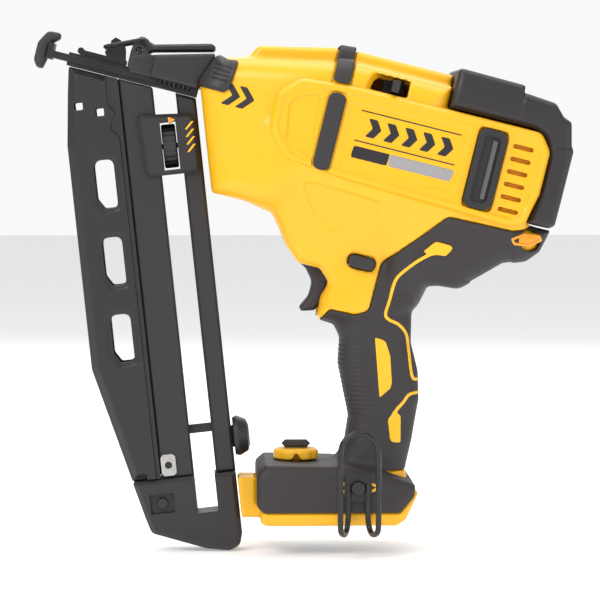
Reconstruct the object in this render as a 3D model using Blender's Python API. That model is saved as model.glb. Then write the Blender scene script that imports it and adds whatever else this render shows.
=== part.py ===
"""Cordless angled finish nailer, modelled as an assembly of separate pieces.

Sizes are in millimetres and become metres in finish_mesh. +Z is up, +X runs to the back of the tool, and the
left side of the tool is at -Y. The origin is on the battery seat, in the middle of the receptacle's front wall.
Three frames hold the pieces: the world for handle and foot, drive_line along the nail's path (its local +X runs
backwards along the driver) and magazine_line, whose local -Z runs down the magazine.
"""

import math

import bmesh
import bpy
from mathutils import Matrix, Vector

MM = 0.001
GAP = 0.3  # clearance between two pieces that touch
RUN = 0.4  # clearance round a piece that slides or turns

# Frames
DRIVE_X, DRIVE_Z = -35.9, 241.8
DRIVE_TILT = 14.0
NAIL_ANGLE = 20.0
MAGAZINE_AT = -48.5  # place of the magazine on the drive line

# Barrel
BARREL_HALF = 37.0
BARREL_ROUND = 13.0
BARREL_REAR = 195.0
BARREL_TOP = 34.0
BARREL_FLOOR = -37.0
CHIN = -55.0
FRONT_AT = -2.6  # where the slanted front face meets the drive line
CAP_FRONT = 133.0
CAP_SEAT = 22.5
RIDGE_HALF, RIDGE_TOP = 15.0, 41.0
PANEL_RISE = 2.5
WALL = 2.6

# Neck, belly, handle and foot
NECK_HALF = 20.0
BELLY_HALF, HANDLE_HALF = 31.0, 18.0
GRIP_SKIN = 2.4
FOOT_HALF, SLEEVE_SKIN = 37.5, 1.8
TONGUE_HALF = 13.0

# Battery receptacle
RECESS_HALF, RECESS_FRONT, RECESS_REAR, RECESS_ROOF = 32.0, -2.3, 90.0, 14.0
RAIL_LIP = 6.0

# Nose
NOSE_FRONT, NOSE_REAR = -78.0, -3.5
NOSE_HALF = 9.0
CHANNEL_HALF, CHANNEL_DEPTH = 2.2, 1.4
DOOR_BASE, DOOR_TOP, DOOR_HALF = 2.1, 4.7, 8.0
DOOR_HINGE = (-72.0, 4.0)
LATCH_AT, BAIL_PIN = (-40.5, 12.0), 6.0
LATCH_HALF = 9.0
BAIL_AT, BAIL_HALF, BAIL_R = (-59.4, 9.4), 14.0, 1.2
MAG_CLEAR = -6.0  # top of the magazine, parallel to the drive line
ARM_IN, ARM_OUT = 9.5, 11.3
DEPTH_DOWN = 46.0  # how far down the magazine the depth wheel sits
DEPTH_WHEEL_R, DEPTH_WHEEL_HALF = 12.5, 4.0

# Driver, flywheel and frame
BLADE_TIP, BLADE_HALF, BLADE_THICK = -11.0, 1.6, 1.8
CARRIAGE_FRONT, CARRIAGE_LENGTH, CARRIAGE_HALF = 84.0, 70.0, 6.0
FLYWHEEL_AT = (150.0, -34.0)
FLYWHEEL_R, FLYWHEEL_HALF = 26.0, 11.0
AXLE_R, BEARING_R = 3.0, 7.0
RETURN_RAIL_Y, RETURN_RAIL_R = 17.0, 2.2
FRAME_SIDE, FRAME_THICK = 22.0, 2.5

# Magazine, in its own frame: X across, -Z down its length
MAG_LENGTH = 275.0
GUARD_FRONT, GUARD_BACK, GUARD_HALF = -34.0, -2.0, 11.5
CHANNEL_BACK, MAG_CHANNEL_HALF = 16.5, 9.5
RAIL_FRONT, RAIL_BACK, MAG_RAIL_HALF = 29.0, 40.0, 9.0
MAG_WALL = 2.2
CAP_FROM = 231.0
WINDOW_PITCH, WINDOW_FIRST = 43.3, 63.4
CAGE_TOP, CAGE_END = 27.0, 62.0
PUSHER_AT, PUSHER_HALF_LENGTH, PUSHER_TRAVEL = 212.0, 9.0, 120.0

# Trigger
TRIGGER_HALF = 8.5
TRIGGER_PIVOT = (88.5, -76.5)
BUTTON_AT = (107.5, -72.5)
BUTTON_LENGTH, BUTTON_HEIGHT, BUTTON_PROUD = 15.0, 7.0, 2.5

# Eyelet near the rear, on the drive line
EYELET_AT, EYELET_R, EYELET_HOLE_R = (194.5, -38.0), 5.5, 2.6

# Selector and belt hook, in the world frame
SELECTOR_X, SELECTOR_BASE = 15.0, 34.2
HOOK_X, HOOK_Z = 48.0, 22.0
HOOK_WIRE_R, HOOK_OUT, HOOK_TOP = 1.6, -55.8, 53.3

# Screws that hold the housing halves, as (frame, along, up)
SCREW_R, SCREW_HEAD_R, BOSS_R = 1.5, 2.9, 4.9
SCREW_SEAT, SCREW_TIP = 8.0, -9.0
SCREWS = (
    ("drive", 32.0, -40.0),
    ("drive", 88.0, 27.0),
    ("drive", 133.0, -63.0),
    ("world", 5.0, 22.3),
)

COLOURS = {
    "yellow_plastic": ((0.93, 0.55, 0.02), 0.42, 0.0),
    "black_plastic": ((0.035, 0.032, 0.034), 0.5, 0.0),
    "black_rubber": ((0.05, 0.045, 0.047), 0.75, 0.0),
    "black_metal": ((0.045, 0.042, 0.045), 0.4, 0.6),
    "steel": ((0.5, 0.49, 0.48), 0.35, 1.0),
    "aluminium": ((0.62, 0.62, 0.63), 0.4, 1.0),
    "copper": ((0.72, 0.38, 0.2), 0.35, 1.0),
    "board_green": ((0.03, 0.16, 0.07), 0.5, 0.0),
    "orange_mark": ((0.85, 0.42, 0.12), 0.5, 0.0),
}


# ---------------------------------------------------------------- outlines


def signed_area(points):
    total = 0.0
    for (ax, ay), (bx, by) in zip(points, points[1:] + points[:1]):
        total += ax * by - bx * ay
    return total / 2


def wound(corners):
    """Corners as (a, b, radius), turned so that they run anticlockwise."""
    full = [tuple(c) if len(c) == 3 else (c[0], c[1], 0.0) for c in corners]
    if signed_area([c[:2] for c in full]) < 0:
        full.reverse()
    return full


def grown(corners, by):
    """The outline moved outwards by a distance, with its corner radii following."""
    corners = wound(corners)
    count = len(corners)
    moved = []
    for i, (x, y, radius) in enumerate(corners):
        before = Vector(corners[i - 1][:2])
        here = Vector((x, y))
        after = Vector(corners[(i + 1) % count][:2])
        first, second = (here - before).normalized(), (after - here).normalized()
        normal_a, normal_b = Vector((first.y, -first.x)), Vector((second.y, -second.x))
        bisector = (normal_a + normal_b).normalized()
        place = here + bisector * by / max(bisector.dot(normal_a), 0.35)
        convex = first.x * second.y - first.y * second.x > 0
        if radius > 0:
            radius = max(radius + (by if convex else -by), 0.05)
        moved.append((place.x, place.y, radius))
    return moved


def rounded(corners, steps_of):
    """Points of the outline, each corner with a radius drawn as an arc of as many steps as steps_of says."""
    count = len(corners)
    points = []
    for i, (x, y, radius) in enumerate(corners):
        here = Vector((x, y))
        if steps_of[i] == 0:
            points.append((x, y))
            continue
        to_before = Vector(corners[i - 1][:2]) - here
        to_after = Vector(corners[(i + 1) % count][:2]) - here
        half = max(to_before.angle(to_after) / 2, 0.02)
        reach = min(radius / math.tan(half), 0.48 * to_before.length, 0.48 * to_after.length)
        start = here + to_before.normalized() * reach
        end = here + to_after.normalized() * reach
        for k in range(steps_of[i] + 1):
            t = k / steps_of[i]
            # A quadratic through the corner is close to the arc and never overshoots.
            p = start * (1 - t) ** 2 + here * 2 * t * (1 - t) + end * t**2
            points.append((p.x, p.y))
    return points


def steps_for(corners, fine=True):
    if not fine:
        return [1 if r > 4 else 0 for _, _, r in corners]
    return [0 if r == 0 else 1 if r < 4 else 2 for _, _, r in corners]


def box_outline(x0, y0, x1, y1, radius=0.0):
    return [(x0, y0, radius), (x1, y0, radius), (x1, y1, radius), (x0, y1, radius)]


# ---------------------------------------------------------------- solids


def material_of(name):
    made = bpy.data.materials.get(name)
    if made:
        return made
    colour, roughness, metallic = COLOURS[name]
    made = bpy.data.materials.new(name)
    made.use_nodes = True
    shader = made.node_tree.nodes["Principled BSDF"]
    shader.inputs["Base Color"].default_value = (*colour, 1.0)
    shader.inputs["Roughness"].default_value = roughness
    shader.inputs["Metallic"].default_value = metallic
    made.diffuse_color = (*colour, 1.0)
    return made


def finish_mesh(name, frame, mesh, material="black_plastic"):
    """An object of this bmesh, given in millimetres in the frame, as a child of that frame."""
    bmesh.ops.recalc_face_normals(mesh, faces=mesh.faces)
    bmesh.ops.scale(mesh, vec=(MM, MM, MM), verts=mesh.verts)
    data = bpy.data.meshes.new(name)
    mesh.to_mesh(data)
    mesh.free()
    made = bpy.data.objects.new(name, data)
    bpy.context.scene.collection.objects.link(made)
    made.parent = frame
    data.materials.append(material_of(material))
    return made


def loft(name, frame, rings, material="black_plastic"):
    """A closed solid through rings of points that all have the same count, capped at both ends."""
    mesh = bmesh.new()
    loops = [[mesh.verts.new(p) for p in ring] for ring in rings]
    for low, high in zip(loops, loops[1:]):
        for i in range(len(low)):
            j = (i + 1) % len(low)
            mesh.faces.new((low[i], low[j], high[j], high[i]))
    mesh.faces.new(loops[0])
    mesh.faces.new(loops[-1])
    return finish_mesh(name, frame, mesh, material)


def plate(name, frame, corners, low, high, edges=(0.0, 0.0), grow=0.0, material="black_plastic", segments=1):
    """An outline in the frame's XZ plane, thick from y low to y high. edges are the radii that round its two rims,
    each as a bevel of this many segments; none at all means a plain inner shape with few points."""
    corners = wound(corners)
    steps = steps_for(corners, segments > 0)
    segments = max(segments, 1)
    corners = grown(corners, grow) if grow else corners
    rings = []
    for k in range(segments + 1 if edges[0] else 1):
        turn = math.pi / 2 * (1 - k / segments) if edges[0] else 0.0
        rings.append((edges[0] * (1 - math.cos(turn)), low + edges[0] * (1 - math.sin(turn))))
    for k in range(segments + 1 if edges[1] else 1):
        turn = math.pi / 2 * k / segments if edges[1] else 0.0
        rings.append((edges[1] * (1 - math.cos(turn)), high - edges[1] * (1 - math.sin(turn))))
    shaped = []
    for inset, y in rings:
        ring = grown(corners, -inset) if inset > 1e-6 else corners
        shaped.append([(x, y, z) for x, z in rounded(ring, steps)])
    return loft(name, frame, shaped, material)


def slab(name, frame, low, high, material="black_plastic"):
    """A box between two corners."""
    return plate(name, frame, box_outline(low[0], low[2], high[0], high[2]), low[1], high[1], material=material)


def turned(name, frame, profile, centre, axis, count=20, material="steel"):
    """A closed profile of (along, radius) points turned about an axis through centre. A hole needs a closed ring
    of points that stay off the axis."""
    axis = Vector(axis).normalized()
    side = axis.orthogonal().normalized()
    up = axis.cross(side)
    mesh = bmesh.new()
    solid = any(radius < 1e-6 for _, radius in profile)
    rows = []
    for along, radius in profile:
        base = Vector(centre) + axis * along
        if radius < 1e-6:
            rows.append([mesh.verts.new(base)])
            continue
        row = []
        for k in range(count):
            turn = math.tau * k / count
            row.append(mesh.verts.new(base + (side * math.cos(turn) + up * math.sin(turn)) * radius))
        rows.append(row)
    pairs = list(zip(rows, rows[1:]))
    if not solid:
        pairs.append((rows[-1], rows[0]))
    for low, high in pairs:
        for k in range(count):
            j = (k + 1) % count
            ring = [low[k % len(low)], low[j % len(low)], high[j % len(high)], high[k % len(high)]]
            corners = list(dict.fromkeys(ring))
            if len(corners) > 2:
                mesh.faces.new(corners)
    return finish_mesh(name, frame, mesh, material)


def pin(name, frame, centre, axis, radius, low, high, count=14, material="steel"):
    return turned(name, frame, [(low, 0), (low, radius), (high, radius), (high, 0)], centre, axis, count, material)


def tube(name, frame, centre, axis, bore, radius, low, high, count=18, material="steel"):
    profile = [(low, bore), (low, radius), (high, radius), (high, bore)]
    return turned(name, frame, profile, centre, axis, count, material)


def eased(points, radius, steps=3):
    """A route through 3D points, with each inner corner rounded to a radius."""
    points = [Vector(p) for p in points]
    route = [points[0]]
    for before, here, after in zip(points, points[1:], points[2:]):
        back, on = before - here, after - here
        half = back.angle(on) / 2
        reach = min(radius / math.tan(half), 0.48 * back.length, 0.48 * on.length)
        start, end = here + back.normalized() * reach, here + on.normalized() * reach
        for k in range(steps + 1):
            t = k / steps
            route.append(start * (1 - t) ** 2 + here * 2 * t * (1 - t) + end * t**2)
    return route + [points[-1]]


def wire(name, frame, route, radius, sides=6, material="steel"):
    """A round wire along a route of 3D points."""
    route = [Vector(p) for p in route]
    rings = []
    normal = (route[1] - route[0]).orthogonal().normalized()
    for i, here in enumerate(route):
        ahead = (route[min(i + 1, len(route) - 1)] - route[max(i - 1, 0)]).normalized()
        normal = (normal - ahead * normal.dot(ahead)).normalized()
        across = ahead.cross(normal)
        ring = []
        for k in range(sides):
            turn = math.tau * k / sides
            ring.append(here + (normal * math.cos(turn) + across * math.sin(turn)) * radius)
        rings.append(ring)
    return loft(name, frame, rings, material)


def helix(start, end, radius, turns, steps=6):
    """Centreline of a coil spring between two points."""
    start, end = Vector(start), Vector(end)
    axis = (end - start).normalized()
    side = axis.orthogonal().normalized()
    up = axis.cross(side)
    route = []
    for k in range(int(turns * steps) + 1):
        turn = math.tau * k / steps
        along = start.lerp(end, k / (turns * steps))
        route.append(along + (side * math.cos(turn) + up * math.sin(turn)) * radius)
    return route


def combine(target, other, operation):
    """Applies one Boolean to target at once and removes the other object."""
    modifier = target.modifiers.new("combine", "BOOLEAN")
    modifier.operation = operation
    modifier.solver = "EXACT"
    modifier.object = other
    bpy.context.view_layer.update()
    graph = bpy.context.evaluated_depsgraph_get()
    data = bpy.data.meshes.new_from_object(target.evaluated_get(graph))
    mesh = bmesh.new()
    mesh.from_mesh(data)
    bmesh.ops.remove_doubles(mesh, verts=mesh.verts, dist=1e-6)
    mesh.to_mesh(data)
    mesh.free()
    target.modifiers.clear()
    target.data = data
    data.name = target.name
    bpy.data.objects.remove(other)
    return target


def join(target, *others):
    for other in others:
        combine(target, other, "UNION")
    return target


def cut(target, *others):
    for other in others:
        combine(target, other, "DIFFERENCE")
    return target


def hang(piece, pivot):
    """Moves a piece's origin to its joint's axis, a point in its parent's frame, without moving the piece."""
    shift = Vector(pivot) * MM
    piece.data.transform(Matrix.Translation(-shift))
    piece.location = shift
    return piece


def smooth_round(piece):
    """Smooth shading on round faces, sharp at the corners."""
    piece.data.shade_smooth()
    piece.data.set_sharp_from_angle(angle=math.radians(35))


def frame_at(name, location, tilt, parent=None):
    made = bpy.data.objects.new(name, None)
    bpy.context.scene.collection.objects.link(made)
    made.parent = parent
    made.location = Vector(location) * MM
    made.rotation_euler = (0.0, math.radians(tilt), 0.0)
    made.empty_display_size = 0.02
    return made


# ---------------------------------------------------------------- outlines of the housing


def front_face(up):
    """Where the slanted front face of the barrel lies at a height above the drive line."""
    return FRONT_AT - up * math.tan(math.radians(NAIL_ANGLE))


def barrel_outline():
    rear = BARREL_REAR
    return [
        (front_face(CHIN), CHIN, 3),
        (front_face(2.5), 2.5, 1),
        (3, 18.5, 4),
        (20, 23, 8),
        (66, 31.5, 8),
        (80, BARREL_TOP, 8),
        (CAP_FRONT - GAP, BARREL_TOP, 0),
        (CAP_FRONT - GAP, CAP_SEAT, 0),
        (rear - 6, CAP_SEAT, 7),
        (rear, 12, 7),
        (rear, -12, 7),
        (rear - 4, -33, 6),
        (rear - 14, BARREL_FLOOR, 3),
        (62, BARREL_FLOOR, 8),
        (48, CHIN, 8),
    ]


def panel_outline():
    rear = BARREL_REAR
    return [
        (39, -14, 12),
        (38, 8, 10),
        (50, 19, 10),
        (80, 21.3, 8),
        (CAP_FRONT, 21.3, 3),
        (rear - 9, 21.3, 7),
        (rear - 2, 12, 7),
        (rear - 2, -12, 7),
        (rear - 6, -30, 6),
        (rear - 15, -34, 3),
        (85, -31, 6),
        (52, -28, 10),
    ]


def ridge_outline():
    return [
        (17, 16, 0),
        (19, 22.5, 1),
        (23, 30.5, 2),
        (64, RIDGE_TOP - 1.2, 6),
        (78, RIDGE_TOP, 6),
        (CAP_FRONT - GAP, RIDGE_TOP, 0),
        (CAP_FRONT - GAP, 16, 0),
    ]


def neck_outline():
    return [
        (40, -12, 0),
        (42, -50, 3),
        (52.5, -57.5, 8),
        (60, -66.5, 8),
        (65, -73.5, 3),
        (73.5, -81.3, 1),
        (86, -81.3, 3),
        (93, -88, 6),
        (91.3, -107.8, 1),
        (119, -101, 6),
        (120, -68, 6),
        (152, -33, 0),
        (152, -12, 0),
    ]


def belly_outline():
    """The motor's cover above and behind the hand, as the rubber's outer shape."""
    rear = BARREL_REAR
    return [
        (122, -12, 0),
        (122, -70, 0),
        (120, -94, 0),
        (143, -88, 4),
        (146, -77, 3),
        (152, -75, 6),
        (164, -74, 8),
        (184, -54.5, 5),
        (196, -50, 6),
        (rear + 7, -43, 5),
        (rear + 10, -29.8, 0),
        (rear - 8, -29.8, 0),
        (rear - 8, -12, 0),
    ]


def handle_outline():
    """The grip's outer shape, in the world frame."""
    return [
        (52, 146, 0),
        (29, 126, 0),
        (29.5, 113.8, 1),
        (36, 110.5, 5),
        (39.5, 103, 5),
        (38.5, 88, 8),
        (42, 70, 8),
        (44.5, 58, 8),
        (42.5, 44, 8),
        (36, 32, 5),
        (36, 12, 0),
        (76, 12, 0),
        (76.5, 31, 8),
        (80, 46, 8),
        (84, 68, 8),
        (83.5, 84, 8),
        (79.5, 100, 8),
        (80, 118, 5),
        (85.5, 130, 0),
        (88, 158, 0),
    ]


def foot_outline():
    return [
        (-5.5, 2.0, 0),
        (-2.8, 0.0, 0),
        (70, 0.0, 1),
        (75, 3.5, 2),
        (82, 18.5, 2),
        (75, 23.0, 3),
        (40, 30.0, 6),
        (-1, 31.0, 3),
        (-5.5, 28.0, 2),
    ]


def sleeve_outline():
    """The rubber sleeve over the foot; its lower edge leaves a band of the foot bare."""
    return [
        (-7.0, 10.5, 3),
        (-7.0, 29.5, 4),
        (-2.5, 33.6, 2),
        (36, 32.8, 6),
        (60, 30.0, 6),
        (80, 23.0, 2),
        (78.5, 16.0, 2),
        (71, 8.0, 3),
        (-3.5, 8.0, 3),
    ]


TONGUE_OUTLINE = [(-15.7, 2.2, 0), (-18.1, 25.0, 1), (6, 25.0, 0), (6, 2.2, 0)]


def body_blank(frames, side, grow, middle, segments=2):
    """One half of the housing's full shape, as a solid grown by a distance. It runs from y = middle to its side."""
    world, drive, _ = frames
    skin = GRIP_SKIN
    parts = (
        ("barrel", drive, barrel_outline(), BARREL_HALF, BARREL_ROUND, 0.0),
        ("panel", drive, panel_outline(), BARREL_HALF + PANEL_RISE, 4.0, 0.0),
        ("ridge", drive, ridge_outline(), RIDGE_HALF, 4.0, 0.0),
        ("neck", drive, neck_outline(), NECK_HALF, 5.0, 0.0),
        ("belly", drive, belly_outline(), BELLY_HALF, 5.0, skin),
        ("handle", world, handle_outline(), HANDLE_HALF, 7.0, skin),
        ("foot", world, foot_outline(), FOOT_HALF, 4.0, 0.0),
        ("tongue", world, TONGUE_OUTLINE, TONGUE_HALF, 2.0, 0.0),
    )
    made = None
    for name, frame, outline, half, rim, inset in parts:
        reach = half - inset + grow
        edge = max(rim - inset + grow, 0.5)
        low, high = sorted((side * middle, side * reach))
        edges = (0.0, edge) if side > 0 else (edge, 0.0)
        piece = plate("blank_" + name, frame, outline, low, high, edges, grow - inset, segments=segments)
        made = join(made, piece) if made else piece
    return made


def battery_recess(world, grow=0.0):
    low = (RECESS_FRONT - grow, -RECESS_HALF - grow, -5)
    high = (RECESS_REAR, RECESS_HALF + grow, RECESS_ROOF + grow)
    return slab("recess", world, low, high)


def trigger_slot(drive):
    """The opening in the neck that the trigger moves in."""
    outline = [(70, -79.5), (78, -72), (98, -72), (98, -81), (104, -85), (104, -101), (92, -106.2), (80, -112),
               (70, -100)]
    return plate("trigger_slot", drive, outline, -TRIGGER_HALF - RUN, TRIGGER_HALF + RUN)


def stall_window(drive, side):
    low, high = sorted((side * 12.0, side * 50.0))
    return plate("stall_window", drive, box_outline(98, 21.5, 109, 31.0, 1), low, high)


def vent_outline(grow=0.0):
    return box_outline(152 - grow, -28 - grow, 168 + grow, 16 + grow, 3)


def louvre_cutters(drive, side):
    outer = BARREL_HALF + PANEL_RISE
    made = []
    for row in range(6):
        top = 11.6 - 7.1 * row
        low, high = sorted((side * (outer - 6), side * (outer + 6)))
        made.append(plate("louvre", drive, box_outline(172, top - 2.4, 183.5, top, 1), low, high))
    return made


def keep_largest(piece):
    """Drops the small offcuts that a cut leaves loose."""
    mesh = bmesh.new()
    mesh.from_mesh(piece.data)
    bmesh.ops.remove_doubles(mesh, verts=mesh.verts, dist=1e-6)
    left = set(mesh.verts)
    groups = []
    while left:
        queue = [left.pop()]
        group = set(queue)
        while queue:
            for edge in queue.pop().link_edges:
                for vert in edge.verts:
                    if vert not in group:
                        group.add(vert)
                        queue.append(vert)
        left -= group
        groups.append(group)
    biggest = max(groups, key=len)
    bmesh.ops.delete(mesh, geom=[v for v in mesh.verts if v not in biggest])
    mesh.to_mesh(piece.data)
    mesh.free()
    return piece


def screw_frame(frames, kind):
    return frames[0] if kind == "world" else frames[1]


def wall_at(kind, along, up):
    """How far the outer wall is from the parting plane at a screw."""
    if kind == "world":
        return HANDLE_HALF - GRIP_SKIN if up > 35 else FOOT_HALF
    if up < -42 and along > 100:
        return BELLY_HALF - GRIP_SKIN
    return BARREL_HALF


def screw_ways(frames):
    """Cutters for the screws: a hole for each shank and a wider way in for its head."""
    made = []
    for kind, along, up in SCREWS:
        shank, head = SCREW_R + GAP, SCREW_HEAD_R + GAP
        profile = [(SCREW_TIP - GAP, 0), (SCREW_TIP - GAP, shank), (SCREW_SEAT, shank), (SCREW_SEAT, head),
                   (60, head), (60, 0)]
        made.append(turned("way", screw_frame(frames, kind), profile, (along, 0, up), (0, 1, 0), 10))
    return made


def fin_outline(grow=0.0):
    return [(-1.5 - grow, 4.5 - grow, 1), (3.5 - grow, 17.5 + grow, 1), (13.5 + grow, 20.0 + grow, 2),
            (12 + grow, 4.5 - grow, 1)]


def pad_outline(grow=0.0):
    return box_outline(66.6 - grow, -28.5 - grow, 77 + grow, 15.5 + grow, 5)


def make_housing(frames, side, name):
    """One clamshell half: the blank, hollowed, with the openings that its neighbours need."""
    world, drive, _ = frames
    outer = BARREL_HALF + PANEL_RISE
    shell = body_blank(frames, side, 0.0, GAP / 2)
    shell.name = name
    low, high = sorted((side * 12.0, side * 30.0))
    cut(shell, plate("button_hole", drive, button_outline(RUN), low, high))
    hollow = body_blank(frames, side, -WALL, -4.0, segments=0)
    cut(hollow, battery_recess(world, WALL))
    cut(shell, hollow, battery_recess(world), trigger_slot(drive))
    for kind, along, up in SCREWS:
        reach = wall_at(kind, along, up) - WALL / 2
        low, high = sorted((side * GAP / 2, side * reach))
        join(shell, pin("boss", screw_frame(frames, kind), (along, 0, up), (0, 1, 0), BOSS_R, low, high, 8))
    cut(shell, slab("nose_port", drive, (-8, -NOSE_HALF - 3, -6.5), (9, NOSE_HALF + 3, 6)))
    low, high = sorted((side * (outer - 12), side * (outer + 5)))
    cut(shell, plate("vent_hole", drive, vent_outline(GAP), low, high), *louvre_cutters(drive, side))
    low, high = sorted((side * (outer - 1.2), side * (outer + 5)))
    cut(shell, plate("pad_pocket", drive, pad_outline(GAP), low, high))
    low, high = sorted((side * 30.0, side * 50.0))
    cut(shell, plate("fin_pocket", drive, fin_outline(GAP), low, high))
    if side < 0:
        cut(shell, stall_window(drive, side))
        cut(shell, pin("hook_hole", world, (HOOK_X, 0, HOOK_Z), (0, 1, 0), 2.3, -50, -30, 10))
    cut(shell, pin("spindle_hole", world, (SELECTOR_X, 0, 0), (0, 0, 1), 2.9, 22, 36, 12))
    cut(shell, *screw_ways(frames))
    shell.data.materials.clear()
    shell.data.materials.append(material_of("yellow_plastic"))
    return keep_largest(shell)


def button_outline(grow):
    half, height = BUTTON_LENGTH / 2 + grow, BUTTON_HEIGHT / 2 + grow
    x, z = BUTTON_AT
    return box_outline(x - half, z - height, x + half, z + height, 3.2)


def make_grip(frames, side, name):
    """Half of the soft overmould: belly, handle and foot sleeve in one piece."""
    world, drive, _ = frames
    parts = (
        ("belly", drive, belly_outline(), BELLY_HALF, 5.0),
        ("handle", world, handle_outline(), HANDLE_HALF, 7.0),
        ("sleeve", world, sleeve_outline(), FOOT_HALF + SLEEVE_SKIN, 4.0),
    )
    made = None
    for part, frame, outline, half, rim in parts:
        low, high = sorted((side * GAP / 2, side * half))
        edges = (0.0, rim) if side > 0 else (rim, 0.0)
        piece = plate("grip_" + part, frame, outline, low, high, edges, segments=2)
        made = join(made, piece) if made else piece
    made.name = name
    cut(made, body_blank(frames, side, GAP, -1.0), battery_recess(world), trigger_slot(drive))
    x, z = EYELET_AT
    low, high = sorted((side * (BELLY_HALF - GRIP_SKIN - 1), side * 45))
    cut(made, pin("eyelet_pocket", drive, (x, 0, z), (0, 1, 0), EYELET_R + GAP, low, high, 14))
    cut(made, pin("spindle_hole", world, (SELECTOR_X, 0, 0), (0, 0, 1), 2.9, 22, 40, 12))
    if side > 0:
        for kind, along, up in SCREWS:
            spot = (along, 0, up)
            cut(made, pin("seat", screw_frame(frames, kind), spot, (0, 1, 0), SCREW_HEAD_R + 0.6, 5, 60, 12))
    else:
        cut(made, pin("hook_hole", world, (HOOK_X, 0, HOOK_Z), (0, 1, 0), 2.3, -50, -30, 10))
    made.data.materials.clear()
    made.data.materials.append(material_of("black_rubber"))
    return keep_largest(made)


# ---------------------------------------------------------------- trim on the housing


def make_trim(frames):
    world, drive, _ = frames
    outer = BARREL_HALF + PANEL_RISE
    rear = BARREL_REAR
    block = [
        (CAP_FRONT, CAP_SEAT + GAP, 1),
        (CAP_FRONT, 45.3, 3),
        (171.6, 44.7, 2),
        (171.8, 40.7, 1),
        (190, 39.2, 5),
        (rear + 1, 32.8, 3),
        (rear + 6, 31, 3),
        (rear + 8, CAP_SEAT + GAP, 0),
    ]
    band = [
        (rear + GAP, CAP_SEAT + 5, 0),
        (rear + 7, CAP_SEAT + 5, 0),
        (rear + 9.3, 17.7, 2),
        (rear + 11, 16, 2),
        (rear + 11, -27, 2),
        (rear + 8, -29.5, 1),
        (rear + GAP, -29.5, 0),
    ]
    cap = plate("rear_cap", drive, block, -34.0, 34.0, (4.0, 4.0))
    join(cap, plate("band", drive, band, -32.0, 32.0, (3.0, 3.0)))
    strap = plate("top_strap", drive, box_outline(67, 22.8, 76.8, RIDGE_TOP + 2.4, 2), -17.6, 17.6, (3.0, 3.0))
    cut(strap, body_blank(frames, -1, GAP, -4.0), body_blank(frames, 1, GAP, -4.0))
    for side, hand in ((-1, "left"), (1, "right")):
        low, high = sorted((side * (outer - 0.9), side * (outer + 1.3)))
        pad = plate("side_pad_" + hand, drive, pad_outline(), low, high, material="black_rubber")
        hang(pad, (72, 0, -6))
        low, high = sorted((side * 36.0, side * (outer + 1.3)))
        vent = plate("vent_frame_" + hand, drive, vent_outline(), low, high)
        low, high = sorted((side * (outer - 0.6), side * 50.0))
        cut(vent, plate("window", drive, box_outline(155.5, -24.5, 164.5, 12.5, 1.5), low, high))
        low, high = sorted((side * 31.0, side * (BARREL_HALF + 1.0)))
        fin = plate("lamp_fin_" + hand, drive, fin_outline(), low, high)
        low, high = sorted((side * 33.0, side * 36.5))
        cut(fin, plate("lamp_recess", drive, [(-4, 6), (-4, 12), (1.2, 14), (1.2, 6)], low, high))
        low, high = sorted((side * (BELLY_HALF - GRIP_SKIN + GAP), side * (BELLY_HALF + 0.6)))
        centre = (EYELET_AT[0], 0, EYELET_AT[1])
        tube("rear_eyelet_" + hand, drive, centre, (0, 1, 0), EYELET_HOLE_R, EYELET_R, low, high, 16, "orange_mark")
    for number, (kind, along, up) in enumerate(SCREWS, 1):
        profile = [
            (SCREW_TIP, 0),
            (SCREW_TIP, SCREW_R),
            (SCREW_SEAT + GAP, SCREW_R),
            (SCREW_SEAT + GAP, SCREW_HEAD_R),
            (SCREW_SEAT + 2.8, SCREW_HEAD_R),
            (SCREW_SEAT + 2.8, 1.6),
            (SCREW_SEAT + 1.4, 1.2),
            (SCREW_SEAT + 1.4, 0),
        ]
        frame = screw_frame(frames, kind)
        turned(f"housing_screw_{number}", frame, profile, (along, 0, up), (0, 1, 0), 12, "black_metal")


# ---------------------------------------------------------------- nose


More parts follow.
